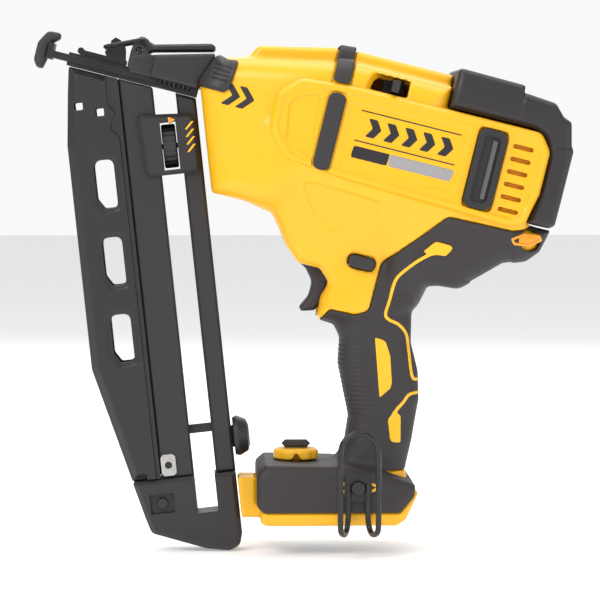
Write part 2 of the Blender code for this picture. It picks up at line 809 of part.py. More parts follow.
def make_nose(frames):
    drive = frames[1]
    bar = slab("nosepiece", drive, (NOSE_FRONT, -NOSE_HALF, -5.6), (NOSE_REAR, NOSE_HALF, DOOR_BASE - GAP), "steel")
    groove = slab("groove", drive, (-90, -CHANNEL_HALF, -CHANNEL_DEPTH), (10, CHANNEL_HALF, 5))
    feed = slab("feed", drive, (NOSE_FRONT + 6, -1.3, -8), (NOSE_REAR - 4, 1.3, 0))
    cut(bar, groove, feed)

    hood = [
        (-43.5, 2.8, 1),
        (-43.5, 6.2, 1),
        (-34.5, 6.2, 2),
        (-30, 12, 2),
        (2.2, 20.6, 1),
        (2.6, 18.4, 0),
        (-3.8, 2.8, 0),
    ]
    cover = plate("nose_hood", drive, hood, -17.0, 17.0, (1.2, 1.2))
    for side in (-1, 1):
        low, high = sorted((side * (LATCH_HALF + 3.3), side * 30))
        cut(cover, slab("shoulder", drive, (-50, low, -5), (-31, high, 30)))
        low, high = sorted((side * (LATCH_HALF + 0.4), side * (LATCH_HALF + 3.2)))
        ear = [(-44, 3, 0), (-44, 12, 3), (-40.5, 15.5, 4), (-37, 12, 3), (-33, 9, 0), (-33, 3, 0)]
        join(cover, plate("ear", drive, ear, low, high))
    x, z = LATCH_AT
    cut(cover, pin("pin_hole", drive, (x, 0, z), (0, 1, 0), 1.8, -20, 20, 10))
    pin("latch_pin", drive, (x, 0, z), (0, 1, 0), 1.5, -LATCH_HALF - 3.6, LATCH_HALF + 3.6, 12)

    lever = [
        (-45.2, 12, 4),
        (-43.5, 19.5, 3),
        (-38, 20.2, 3),
        (-35, 16.8, 3),
        (-2, 25.6, 2),
        (1, 23.6, 2),
        (0, 21.6, 1),
        (-33.5, 13.0, 2),
        (-37.5, 8.2, 3),
        (-42, 7.0, 3),
    ]
    handle = plate("latch_lever", drive, lever, -LATCH_HALF, LATCH_HALF, (1.2, 1.2))
    cut(handle, pin("bore", drive, (x, 0, z), (0, 1, 0), 1.5 + RUN, -20, 20, 12))
    hang(handle, (x, 0, z))
    start = LATCH_HALF + 0.4
    front_x, front_z = BAIL_AT
    pin_z = z + BAIL_PIN
    route = [
        (x, -start, pin_z),
        (x, -BAIL_HALF, pin_z),
        (front_x, -BAIL_HALF, front_z),
        (front_x, BAIL_HALF, front_z),
        (x, BAIL_HALF, pin_z),
        (x, start, pin_z),
    ]
    bail = wire("latch_bail", drive, eased(route, 3.5), BAIL_R)
    hang(bail, (x, 0, pin_z))

    hinge_x, hinge_z = DOOR_HINGE
    top = DOOR_TOP
    door = plate("nose_door", drive, [(hinge_x, DOOR_BASE), (hinge_x, top), (-46, top), (-46, DOOR_BASE)],
                 -DOOR_HALF, DOOR_HALF, material="steel")
    join(door, pin("knuckle", drive, (hinge_x, 0, hinge_z), (0, 1, 0), 1.9, -DOOR_HALF, DOOR_HALF, 14))
    hook = [
        (-57, top - 1, 0),
        (-59.6, 7.4, 1),
        (-57.4, 8.6, 1),
        (-56.8, 11, 1),
        (-57.2, 15.4, 2),
        (-53, 16, 3),
        (-48.5, 12, 4),
        (-46.6, top - 1, 0),
    ]
    for side in (-1, 1):
        low, high = sorted((side * 4.6, side * DOOR_HALF))
        join(door, plate("hook", drive, hook, low, high))
    hang(door, (hinge_x, 0, hinge_z))

    trip = slab("contact_trip", drive, (-90, -ARM_OUT, -4.6), (-86.8, ARM_OUT, 4.4), "steel")
    for side in (-1, 1):
        low, high = sorted((side * ARM_IN, side * ARM_OUT))
        arm = [(-90, -3.4, 0), (-90, 0.4, 0), (-27, 0.4, 1), (-27, -3.4, 1)]
        join(trip, plate("arm", drive, arm, low, high))
    cut(trip, pin("nail_hole", drive, (0, 0, 0), (1, 0, 0), 2.6, -95, -80, 12))
    tip = [
        (-84.9, 7.6, 1),
        (-85.6, 10.4, 2),
        (-92.4, 9.5, 3),
        (-96.4, 3, 4),
        (-96.4, -6, 4),
        (-93.5, -10.4, 2),
        (-90.9, -10.6, 1),
        (-90.3, -6.4, 0),
        (-90.3, 5.2, 0),
        (-87.5, 5.2, 1),
    ]
    pad = plate("no_mar_tip", drive, tip, -7.0, 7.0, (1.5, 1.5), material="black_rubber")
    cut(pad, pin("nail_hole", drive, (0, 0, 0), (1, 0, 0), 2.6, -99, -80, 12))
    coil = helix((-26.2, -ARM_OUT - 2.2, -1.5), (-7.6, -ARM_OUT - 2.2, -1.5), 1.9, 7)
    wire("contact_trip_spring", drive, coil, 0.45, 4)


# ---------------------------------------------------------------- magazine


def under(across, drop):
    """Height in the magazine's frame of a line parallel to the drive line, a drop below it."""
    turn = math.radians(NAIL_ANGLE)
    return -(drop + across * math.sin(turn)) / math.cos(turn)


def make_magazine(frames):
    mag = frames[2]
    drop = -MAG_CLEAR
    seat = CAP_FROM - GAP
    guard = [
        (-28.5, under(-28.5, drop), 1),
        (-31, -10.8, 3),
        (GUARD_FRONT, -40, 5),
        (GUARD_FRONT, -165.9, 8),
        (-18.2, -seat, 0),
        (GUARD_BACK, -seat, 0),
        (GUARD_BACK, under(GUARD_BACK, drop), 0),
    ]
    shell = plate("magazine_guard", mag, guard, -GUARD_HALF, GUARD_HALF, (2.5, 2.5), material="black_metal")
    inner = grown(guard, -MAG_WALL)
    inner = [(x if x < -10 else 5.0, z, 0) for x, z, _ in inner]
    cut(shell, plate("inner", mag, inner, -GUARD_HALF + MAG_WALL, GUARD_HALF - MAG_WALL))
    for row in range(3):
        middle = WINDOW_FIRST + WINDOW_PITCH * row
        window = [
            (-20.5, -middle + 13.5, 3),
            (-9.4, -middle + 13.5, 3),
            (-9.4, -middle - 13.5, 2),
            (-17, -middle - 13.5, 1),
            (-20.5, -middle - 8, 2),
        ]
        cut(shell, plate("window", mag, window, -30, 30))
    cut(shell, slab("nail_way", mag, (-31.5, -1.3, -30), (-2, 1.3, 10)))

    channel = [
        (GUARD_BACK + GAP, -seat, 0),
        (GUARD_BACK + GAP, under(GUARD_BACK + GAP, drop), 0),
        (CHANNEL_BACK, under(CHANNEL_BACK, drop), 1),
        (CHANNEL_BACK, -seat, 0),
    ]
    rail = plate("magazine_channel", mag, channel, -MAG_CHANNEL_HALF, MAG_CHANNEL_HALF, (1, 1),
                 material="black_metal")
    reach = MAG_CHANNEL_HALF - MAG_WALL
    cut(rail, slab("inner", mag, (-9, -reach, -240), (CHANNEL_BACK - MAG_WALL, reach, -12)))
    slot_end = PUSHER_AT - PUSHER_TRAVEL - PUSHER_HALF_LENGTH - 3
    low_end = PUSHER_AT + PUSHER_HALF_LENGTH + 3
    cut(rail, slab("slot", mag, (5, -1.8, -low_end), (25, 1.8, -slot_end)))
    cut(rail, slab("nail_way", mag, (-9, -1.3, -30), (25, 1.3, 10)))

    bar = [
        (RAIL_FRONT, -seat, 0),
        (RAIL_FRONT, under(RAIL_FRONT, drop), 0),
        (RAIL_BACK, under(RAIL_BACK, drop), 1),
        (RAIL_BACK, -seat, 0),
    ]
    back = plate("magazine_rear_bar", mag, bar, -MAG_RAIL_HALF, MAG_RAIL_HALF, (1.5, 1.5), material="black_metal")
    reach = MAG_RAIL_HALF - MAG_WALL
    cut(back, slab("inner", mag, (RAIL_FRONT + MAG_WALL, -reach, -240), (RAIL_BACK - MAG_WALL, reach, -24)))
    cut(back, slab("slot", mag, (RAIL_FRONT - 5, -1.8, -low_end), (RAIL_FRONT + 6, 1.8, -slot_end)))
    cut(back, slab("knob_slot", mag, (RAIL_BACK - 5, -3, -low_end), (RAIL_BACK + 5, 3, -slot_end)))

    half = GUARD_HALF + 0.5
    cap = [
        (-18.2, -CAP_FROM, 1),
        (-13, -252, 3),
        (-10.5, -260.7, 4),
        (19.2, -MAG_LENGTH + 2.5, 4),
        (31.9, -MAG_LENGTH, 4),
        (38, -MAG_LENGTH + 2.2, 4),
        (RAIL_BACK, -MAG_LENGTH + 9, 4),
        (RAIL_BACK, -CAP_FROM, 1),
    ]
    foot = plate("magazine_end_cap", mag, cap, -half, half, (2.5, 2.5))
    cut(foot, slab("gap", mag, (CHANNEL_BACK, -30, -252), (RAIL_FRONT - 1, 30, -200)))
    cut(foot, slab("screw_window", mag, (-9.5, -30, -250), (4, -half + 2.5, -239)))
    cut(foot, pin("screw_hole", mag, (-2.7, 0, -244.5), (0, 1, 0), 1.8, -30, 3, 12))
    screw = [(0, 0), (0, 1.5), (-half + 2.2, 1.5), (-half + 2.2, 3.4), (-half + 0.4, 3.0), (-half + 0.4, 0)]
    turned("magazine_screw", mag, screw, (-2.7, 0, -244.5), (0, 1, 0), 14)

    side = -MAG_CHANNEL_HALF - GAP
    leaf = plate("magazine_leaf", mag, box_outline(-1.2, -229.5, 7.2, -217.3, 1.5), side - 1.0, side, material="steel")
    cut(leaf, pin("hole", mag, (3, 0, -223.4), (0, 1, 0), 2.0, -20, 0, 12))

    length = PUSHER_HALF_LENGTH
    low, high = -PUSHER_AT - length, -PUSHER_AT + length
    inside = MAG_RAIL_HALF - MAG_WALL - RUN
    pusher = slab("pusher", mag, (RAIL_FRONT + MAG_WALL + RUN, -inside, low),
                  (RAIL_BACK - MAG_WALL - RUN, inside, high))
    join(pusher, slab("finger", mag, (8.0, -1.2, high - 5), (RAIL_FRONT + 5, 1.2, high)))
    join(pusher, slab("stem", mag, (RAIL_BACK - 6, -2.4, -PUSHER_AT - 6), (RAIL_BACK + 4.0, 2.4, -PUSHER_AT + 6)))
    knob = [(RAIL_BACK + 1.0, 0), (RAIL_BACK + 1.0, 10.5), (RAIL_BACK + 3.5, 11.5), (RAIL_BACK + 8.5, 9.0),
            (RAIL_BACK + 9.8, 5.5), (RAIL_BACK + 9.8, 0)]
    join(pusher, turned("knob", mag, knob, (0, 0, -PUSHER_AT), (1, 0, 0), 20))
    pusher.data.materials.clear()
    pusher.data.materials.append(material_of("black_plastic"))

    side_in, side_out = MAG_CHANNEL_HALF + GAP, DEPTH_WHEEL_R + 1.3
    cage = [(6, -CAGE_TOP, 2), (36, -CAGE_TOP - 2, 2), (38.5, -CAGE_TOP - 6, 2), (38.5, -CAGE_END, 2),
            (8, -CAGE_END, 2)]
    frame = plate("depth_cage", mag, cage, -side_out, side_out, (2.0, 2.0))
    cut(frame, slab("channel_way", mag, (0, -side_in, -90), (CHANNEL_BACK + GAP, side_in, 0)))
    cut(frame, slab("bar_way", mag, (RAIL_FRONT - GAP, -side_in, -90), (50, side_in, 0)))
    x, z = (CHANNEL_BACK + RAIL_FRONT) / 2, -DEPTH_DOWN
    wide, tall = DEPTH_WHEEL_HALF + 0.5, DEPTH_WHEEL_R + 0.8
    cut(frame, slab("wheel_way", mag, (x - wide, -40, z - tall), (x + wide, 40, z + tall)))
    for face in (-1, 1):
        low, high = sorted((x + face * (wide - 1.2), x + face * (wide + 1.2)))
        join(frame, pin("stub", mag, (0, 0, z), (1, 0, 0), 1.5, low, high, 12))
    wheel = tube("depth_wheel", mag, (x, 0, z), (1, 0, 0), 1.5 + RUN, DEPTH_WHEEL_R, -DEPTH_WHEEL_HALF,
                 DEPTH_WHEEL_HALF, 24, "black_rubber")
    hang(wheel, (x, 0, z))


# ---------------------------------------------------------------- trigger, lock-off, selector, stall lever, hook


def make_controls(frames):
    world, drive, _ = frames
    x, z = TRIGGER_PIVOT
    outline = [
        (72.5, -80.5, 2),
        (76, -74, 2),
        (92, -73.5, 3),
        (95, -80, 3),
        (92.5, -101, 3),
        (89, -105.5, 2),
        (82.3, -107.3, 1),
        (81.2, -105.6, 1),
        (84.2, -98, 6),
        (84, -90, 8),
        (79, -84, 4),
    ]
    trigger = plate("trigger", drive, outline, -TRIGGER_HALF, TRIGGER_HALF, (1.5, 1.5))
    cut(trigger, pin("bore", drive, (x, 0, z), (0, 1, 0), 1.5 + RUN, -20, 20, 12))
    hang(trigger, (x, 0, z))
    reach = TRIGGER_HALF + 7.0
    pin("trigger_pin", drive, (x, 0, z), (0, 1, 0), 1.5, -reach, reach, 12)
    slab("trigger_switch", drive, (106.5, -7.5, -99), (115.5, 7.5, -85))
    wire("trigger_spring", drive, helix((95.8, 0, -92), (106.0, 0, -92), 2.6, 4), 0.45, 4)
    button = plate("lock_button", drive, button_outline(0.0), -NECK_HALF - BUTTON_PROUD - 2, NECK_HALF - 1.5, (1, 1))
    hang(button, (BUTTON_AT[0], 0, BUTTON_AT[1]))

    base = SELECTOR_BASE
    spindle = [(24.5, 0), (24.5, 2.5), (base, 2.5), (base, 12.0), (base + 2, 13.0), (base + 6.1, 11.5),
               (base + 6.1, 0)]
    knob = turned("selector_knob", world, spindle, (SELECTOR_X, 0, 0), (0, 0, 1), 20, "orange_mark")
    hang(knob, (SELECTOR_X, 0, base))
    cap = plate("selector_cap", world, box_outline(7.0, base + 6.4, 23.0, base + 10.6, 2), -3.4, 3.4, (1.2, 1.2))
    hang(cap, (SELECTOR_X, 0, base))

    lever = slab("stall_lever", drive, (99.5, -38.5, 23), (103.5, -17, 29.5))
    join(lever, slab("base", drive, (95, -19, 20), (107, -16.5, 31)))
    hang(lever, (101.5, 0, 26))

    skin = FOOT_HALF + SLEEVE_SKIN
    x, z = HOOK_X, HOOK_Z
    left, right = x - 8.6, x + 8.6
    route = [
        (x - 5, -skin - 2.2, z),
        (x - 5, -skin - 2.2, -1.0),
        (left, HOOK_OUT, -1.2),
        (left, HOOK_OUT, HOOK_TOP),
        (right, HOOK_OUT, HOOK_TOP),
        (right, HOOK_OUT, -1.2),
        (x + 5, -skin - 2.2, -1.0),
        (x + 5, -skin - 2.2, z),
    ]
    hook = wire("belt_hook", world, eased(route, 5.0), HOOK_WIRE_R, material="black_metal")
    tab = plate("tab", world, box_outline(x - 8, z - 8, x + 8, z + 8, 4), -skin - 3.0, -skin - GAP)
    join(hook, tab)
    hook.data.materials.clear()
    hook.data.materials.append(material_of("black_metal"))
    cut(hook, pin("hole", world, (x, 0, z), (0, 1, 0), 2.3, -60, -20, 12))
    face = -skin - 3.0
    screw = [(-33, 0), (-33, 2.0), (face - GAP, 2.0), (face - GAP, 4.2), (face - 2.6, 3.6), (face - 2.6, 0)]
    turned("belt_hook_screw", world, screw, (x, 0, z), (0, 1, 0), 14)


# ---------------------------------------------------------------- battery receptacle and board


def make_power(frames):
    world = frames[0]
    side = RECESS_HALF - GAP
    roof = RECESS_ROOF - GAP
    front = RECESS_FRONT + GAP
    base = slab("battery_receptacle", world, (front, -side, 0), (68.5, side, roof))
    narrow = side - RAIL_LIP
    cut(base, slab("bay", world, (4.3, -narrow, -3), (90, narrow, roof - 3)))
    cut(base, slab("rail_slots", world, (4.3, -side + 2.4, 5.5), (90, side - 2.4, roof - 3)))
    block = slab("terminal_block", world, (8, -16, roof - 5.2), (40, 16, roof - 3.3))
    for row in range(4):
        y = -12 + 8 * row
        join(block, slab("blade", world, (10, y - 0.5, 3.0), (24, y + 0.5, roof - 4)))
    board = slab("controller_board", world, (12, -30, RECESS_ROOF + WALL + 1.2), (62, 30, RECESS_ROOF + WALL + 2.8),
                 "board_green")
    top = RECESS_ROOF + WALL + 2.4
    for at_x, at_y in ((30, -18), (30, 0), (30, 18), (44, -9), (44, 9)):
        join(board, pin("part", world, (at_x, at_y, 0), (0, 0, 1), 3.6, top, top + 3.2, 10))


# ---------------------------------------------------------------- drive


def make_drive(frames):
    drive = frames[1]
    top = 6.0
    wheel_x, wheel_z = FLYWHEEL_AT
    inner = FRAME_SIDE
    outer = FRAME_SIDE + FRAME_THICK
    frame = slab("drive_frame", drive, (6, -outer, -14), (11, outer, top), "aluminium")
    join(frame, slab("rear_plate", drive, (160, -outer, -6.5), (165, outer, top)))
    outline = [
        (6, -14, 0),
        (6, top, 0),
        (170, top, 2),
        (170, -14, 3),
        (wheel_x + 13, -38, 5),
        (wheel_x + 6, -44, 5),
        (wheel_x - 6, -44, 5),
        (wheel_x - 16, -14, 5),
    ]
    for side in (-1, 1):
        low, high = sorted((side * inner, side * outer))
        join(frame, plate("side", drive, outline, low, high))
    frame.data.materials.clear()
    frame.data.materials.append(material_of("aluminium"))
    cut(frame, slab("blade_way", drive, (0, -4, -2.5), (13, 4, 2.5)))
    cut(frame, pin("bearing_seat", drive, (wheel_x, 0, wheel_z), (0, 1, 0), BEARING_R + GAP, -40, 40, 14))
    for side, hand in ((-1, "left"), (1, "right")):
        y = side * RETURN_RAIL_Y
        cut(frame, pin("rail_hole", drive, (0, y, 0), (1, 0, 0), RETURN_RAIL_R + GAP, 4, 180, 10))
        pin("return_rail_" + hand, drive, (0, y, 0), (1, 0, 0), RETURN_RAIL_R, 6.5, 164.5, 10)
        coil = helix((11.6, y, 0), (CARRIAGE_FRONT - 0.6, y, 0), RETURN_RAIL_R + 1.3, 9)
        wire("return_spring_" + hand, drive, coil, 0.5, 4)
        low, high = sorted((side * inner, side * outer))
        tube("bearing_" + hand, drive, (wheel_x, 0, wheel_z), (0, 1, 0), AXLE_R + 0.1, BEARING_R, low, high, 14)
    bumper = slab("driver_bumper", drive, (11.3, -9, -8), (16.3, 9, 5.6), "black_rubber")
    cut(bumper, slab("blade_way", drive, (9, -4, -2.5), (18, 4, 2.5)))

    front, rear, half = CARRIAGE_FRONT, CARRIAGE_FRONT + CARRIAGE_LENGTH, CARRIAGE_HALF
    driver = slab("driver", drive, (front, -7, -half), (rear, 7, half), "steel")
    join(driver, slab("blade", drive, (BLADE_TIP, -BLADE_HALF, -BLADE_THICK / 2), (front + 5, BLADE_HALF, BLADE_THICK / 2)))
    join(driver, slab("ears", drive, (front, -21, -5), (front + 9, 21, 5)))
    for side in (-1, 1):
        spot = (0, side * RETURN_RAIL_Y, 0)
        cut(driver, pin("rail_hole", drive, spot, (1, 0, 0), RETURN_RAIL_R + RUN, front - 5, front + 20, 10))

    centre = (wheel_x, 0, wheel_z)
    half, radius = FLYWHEEL_HALF, FLYWHEEL_R
    cup = [(-outer, 0), (-outer, AXLE_R), (half - 3, AXLE_R), (half - 3, radius - 6), (-half, radius - 6),
           (-half, radius), (half, radius), (half, AXLE_R), (outer, AXLE_R), (outer, 0)]
    wheel = turned("flywheel", drive, cup, centre, (0, 1, 0), 28)
    hang(wheel, centre)
    core = [(-inner + GAP, AXLE_R + 0.8), (-inner + GAP, 8), (-half + 1, 8), (-half + 1, radius - 7),
            (half - 4.5, radius - 7), (half - 4.5, AXLE_R + 0.8)]
    turned("motor_stator", drive, core, centre, (0, 1, 0), 18, "copper")


def build():
    for item in list(bpy.data.objects):
        bpy.data.objects.remove(item)
    world = frame_at("world_frame", (0, 0, 0), 0.0)
    drive = frame_at("drive_line", (DRIVE_X, 0, DRIVE_Z), DRIVE_TILT)
    magazine = frame_at("magazine_line", (MAGAZINE_AT, 0, 0), -NAIL_ANGLE, drive)
    bpy.context.view_layer.update()
    frames = (world, drive, magazine)
    make_housing(frames, -1, "housing_left")
    make_housing(frames, 1, "housing_right")
    make_grip(frames, -1, "grip_left")
    make_grip(frames, 1, "grip_right")
    make_trim(frames)
    make_nose(frames)
    make_magazine(frames)
    make_controls(frames)
    make_power(frames)
    make_drive(frames)
    for item in bpy.data.objects:
        if item.type == "MESH":
            smooth_round(item)


build()
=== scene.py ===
"""Looks of the cordless angled finish nailer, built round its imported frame.

The moulded pieces are solids of distance: a function gives how far a place is from the piece's surface, negative
inside, and skin() lays a mesh on it. Distances and places are in millimetres. World x, z run back and up; drive
u, v run back along the driver and up from it; magazine n, m run back across the magazine and down its length.
"""

import math

import bpy
import numpy as np
from mathutils import Matrix, Vector


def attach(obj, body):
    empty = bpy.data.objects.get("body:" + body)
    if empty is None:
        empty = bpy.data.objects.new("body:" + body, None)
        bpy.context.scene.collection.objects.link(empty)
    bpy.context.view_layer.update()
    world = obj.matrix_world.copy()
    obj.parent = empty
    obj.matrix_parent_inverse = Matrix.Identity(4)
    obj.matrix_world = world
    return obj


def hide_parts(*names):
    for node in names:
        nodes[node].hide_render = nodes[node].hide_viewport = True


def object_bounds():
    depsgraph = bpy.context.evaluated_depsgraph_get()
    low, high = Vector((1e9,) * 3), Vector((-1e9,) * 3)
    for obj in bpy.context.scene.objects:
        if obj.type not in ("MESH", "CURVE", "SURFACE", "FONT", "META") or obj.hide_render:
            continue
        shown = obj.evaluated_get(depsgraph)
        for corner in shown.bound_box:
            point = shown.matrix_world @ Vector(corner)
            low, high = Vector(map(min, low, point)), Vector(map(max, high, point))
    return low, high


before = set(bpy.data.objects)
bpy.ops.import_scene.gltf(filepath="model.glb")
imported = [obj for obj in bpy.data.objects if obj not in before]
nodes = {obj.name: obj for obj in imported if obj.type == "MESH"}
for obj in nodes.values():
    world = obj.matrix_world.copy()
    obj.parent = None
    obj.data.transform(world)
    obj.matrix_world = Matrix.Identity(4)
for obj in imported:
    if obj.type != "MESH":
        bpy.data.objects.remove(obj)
cad_low, cad_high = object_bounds()

MM = 0.001
DRIVE_X, DRIVE_Z, DRIVE_TILT = -35.9, 241.8, 14.0
NAIL_ANGLE, MAGAZINE_AT = 20.0, -48.5
BARREL_HALF, PANEL_RISE, RIDGE_TOP = 37.0, 2.5, 41.0
BARREL_REAR, CAP_FRONT = 195.0, 133.0
NECK_HALF, BELLY_HALF, HANDLE_HALF, FOOT_HALF = 20.0, 31.0, 18.0, 37.5
SLEEVE_SKIN, RUBBER_SKIN, WALL = 1.8, 2.4, 2.6
SEAM = 0.2
TRIGGER_HALF, TRIGGER_RUN = 8.5, 0.4
HOOK_X, HOOK_Z, HOOK_WIRE = 48.0, 22.0, 1.6


# ---------------------------------------------------------------- frames and distances


def turned_matrix(x, z, degrees):
    return Matrix.Translation((x * MM, 0, z * MM)) @ Matrix.Rotation(math.radians(degrees), 4, "Y")


DRIVE = turned_matrix(DRIVE_X, DRIVE_Z, DRIVE_TILT)
MAGAZINE = DRIVE @ turned_matrix(MAGAZINE_AT, 0, -NAIL_ANGLE)
WORLD = Matrix.Identity(4)


def to_drive(x, z):
    turn = math.radians(DRIVE_TILT)
    dx, dz = x - DRIVE_X, z - DRIVE_Z
    return dx * math.cos(turn) - dz * math.sin(turn), dx * math.sin(turn) + dz * math.cos(turn)


def arc_points(corners):
    """The outline's points, with each corner (a, b, radius) rounded."""
    full = [(c[0], c[1], c[2] if len(c) > 2 else 0.0) for c in corners]
    made = []
    for i, (a, b, radius) in enumerate(full):
        here = np.array((a, b))
        back = np.array(full[i - 1][:2]) - here
        ahead = np.array(full[(i + 1) % len(full)][:2]) - here
        long_back, long_ahead = np.linalg.norm(back), np.linalg.norm(ahead)
        back, ahead = back / long_back, ahead / long_ahead
        half = math.acos(max(-1.0, min(1.0, float(back @ ahead)))) / 2
        reach = min(radius / max(math.tan(half), 1e-6), 0.49 * long_back, 0.49 * long_ahead)
        if radius <= 0 or half > 1.53:
            made.append(here)
            continue
        start, end = here + back * reach, here + ahead * reach
        for t in np.linspace(0, 1, 7):
            made.append((1 - t) ** 2 * start + 2 * t * (1 - t) * here + t * t * end)
    return np.array(made)


def outline(a, b, corners):
    """Distance to a closed outline, negative inside it."""
    points = arc_points(corners)
    nearest = np.full(np.broadcast(a, b).shape, 1e9)
    inside = np.zeros(nearest.shape, bool)
    for (ax, bx), (ay, by) in zip(points, np.roll(points, -1, axis=0)):
        da, db = ay - ax, by - bx
        if da * da + db * db < 1e-12:
            continue
        t = np.clip(((a - ax) * da + (b - bx) * db) / (da * da + db * db), 0, 1)
        nearest = np.minimum(nearest, (a - ax - t * da) ** 2 + (b - bx - t * db) ** 2)
        if db:
            crosses = ((bx > b) != (by > b)) & (a < da * (b - bx) / db + ax)
            inside ^= crosses
    return np.where(inside, -1.0, 1.0) * np.sqrt(nearest)


def stroke(a, b, points, half):
    """Distance to a line of that half width drawn through the points."""
    nearest = np.full(np.broadcast(a, b).shape, 1e9)
    for (ax, bx), (ay, by) in zip(points, points[1:]):
        da, db = ay - ax, by - bx
        t = np.clip(((a - ax) * da + (b - bx) * db) / (da * da + db * db), 0, 1)
        nearest = np.minimum(nearest, (a - ax - t * da) ** 2 + (b - bx - t * db) ** 2)
    return np.sqrt(nearest) - half


def smooth_line(points, steps=6):
    """A curve through the points."""
    pts = [np.array(p, float) for p in points]
    pts = [2 * pts[0] - pts[1], *pts, 2 * pts[-1] - pts[-2]]
    made = []
    for i in range(1, len(pts) - 2):
        p0, p1, p2, p3 = pts[i - 1 : i + 3]
        for t in np.arange(steps) / steps:
            made.append(0.5 * (2 * p1 + (p2 - p0) * t + (2 * p0 - 5 * p1 + 4 * p2 - p3) * t * t
                               + (3 * p1 - p0 - 3 * p2 + p3) * t ** 3))
    return [*made, pts[-2]]


def both(a, b, radius=0.0):
    """What lies in both solids, with the edge between them rounded."""
    if not radius:
        return np.maximum(a, b)
    return np.hypot(np.maximum(a + radius, 0), np.maximum(b + radius, 0)) + np.minimum(-radius, np.maximum(a, b))


def either(a, b, radius=0.0):
    if not radius:
        return np.minimum(a, b)
    return np.maximum(radius, np.minimum(a, b)) - np.hypot(np.maximum(radius - a, 0), np.maximum(radius - b, 0))


def less(a, b, radius=0.0):
    return both(a, -b, radius)


def ramp(value, low, high):
    t = np.clip((value - low) / (high - low), 0, 1)
    return t * t * (3 - 2 * t)


def block(a, low, high):
    """Distance to a stretch of one axis."""
    return np.maximum(low - a, a - high)


def oblong(a, b, low, high, radius=0.0):
    return outline(a, b, [(low[0], low[1], radius), (high[0], low[1], radius), (high[0], high[1], radius),
                          (low[0], high[1], radius)])


# ---------------------------------------------------------------- meshes


def piece_of(name, points, faces, material, body="tool", normals=None, place=WORLD):
    mesh = bpy.data.meshes.new(name)
    mesh.from_pydata(points, [], faces)
    mesh.transform(place)
    mesh.materials.append(material)
    mesh.shade_smooth()
    if normals is not None:
        turn = np.array(place.to_3x3())
        mesh.normals_split_custom_set_from_vertices(normals @ turn.T)
    mesh.update()
    made = bpy.data.objects.new(name, mesh)
    bpy.context.scene.collection.objects.link(made)
    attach(made, body)
    return made


def skin(field, low, step):
    """Points, faces and normals of the surface where a sampled distance is 0, with one point to a cell."""
    field = np.pad(field, 1, constant_values=step)
    low = np.array(low, float) - step
    inside = field < 0
    size = [n - 1 for n in field.shape]
    count = sum(inside[i : i + size[0], j : j + size[1], k : k + size[2]].astype(np.int8)
                for i in (0, 1) for j in (0, 1) for k in (0, 1))
    cells = np.argwhere((count > 0) & (count < 8))
    number = np.full(size, -1, np.int64)
    number[tuple(cells.T)] = np.arange(len(cells))
    value = {}
    for corner in np.ndindex(2, 2, 2):
        value[corner] = field[tuple((cells + corner).T)]
    total, hits = np.zeros((len(cells), 3)), np.zeros(len(cells))
    slope = np.zeros((len(cells), 3))
    for axis in range(3):
        for p, q in np.ndindex(2, 2):
            start = [p, q]
            start.insert(axis, 0)
            end = list(start)
            end[axis] = 1
            va, vb = value[tuple(start)], value[tuple(end)]
            slope[:, axis] += vb - va
            crossed = (va < 0) != (vb < 0)
            t = np.where(crossed, va / np.where(crossed, va - vb, 1), 0)
            spot = np.tile(np.array(start, float), (len(cells), 1))
            spot[:, axis] = t
            total[crossed] += spot[crossed]
            hits += crossed
    points = low + step * (cells + total / hits[:, None])
    normals = slope / np.maximum(np.linalg.norm(slope, axis=1, keepdims=True), 1e-9)
    faces = []
    for axis in range(3):
        a, b, c = axis, (axis + 1) % 3, (axis + 2) % 3
        first = [slice(1, -1)] * 3
        second = [slice(1, -1)] * 3
        first[a], second[a] = slice(None, -1), slice(1, None)
        low_in, high_in = inside[tuple(first)], inside[tuple(second)]
        for outward in (True, False):
            found = np.argwhere(low_in & ~high_in if outward else ~low_in & high_in)
            shift = np.ones(3, np.int64)
            shift[a] = 0
            here = found + shift
            quad = []
            for db, dc in ((-1, -1), (0, -1), (0, 0), (-1, 0)):
                at = here.copy()
                at[:, b] += db
                at[:, c] += dc
                quad.append(number[tuple(at.T)])
            quad = np.stack(quad, axis=1)
            faces.append(quad if outward else quad[:, ::-1])
    return points, np.concatenate(faces), normals


def mould(name, shape, low, high, step, material, place=WORLD, body="tool"):
    """A piece whose surface is where shape(a, across, b) is 0, sampled between two corners of its own frame."""
    axes = [np.arange(math.floor(low[i] / step) * step, high[i] + step, step) for i in range(3)]
    a, across, b = axes[0][:, None, None], axes[1][None, :, None], axes[2][None, None, :]
    field = np.broadcast_to(shape(a, across, b), [len(x) for x in axes])
    points, faces, normals = skin(field, [x[0] for x in axes], step)
    return piece_of(name, points * MM, faces, material, body, normals, place)


def mould_pair(name, shape_for, low, high, depth, step, material, node="", place=WORLD):
    """A left and a right piece. low and high are corners in side view, depth is how far out they are sampled."""
    for side_sign, side_name in ((-1, "left"), (1, "right")):
        ends = sorted((side_sign * depth[0], side_sign * depth[1]))
        made = mould(name + "_" + side_name, shape_for(side_sign), (low[0], ends[0], low[1]),
                     (high[0], ends[1], high[1]), step, material, place)
        if node:
            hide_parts(node + "_" + side_name)


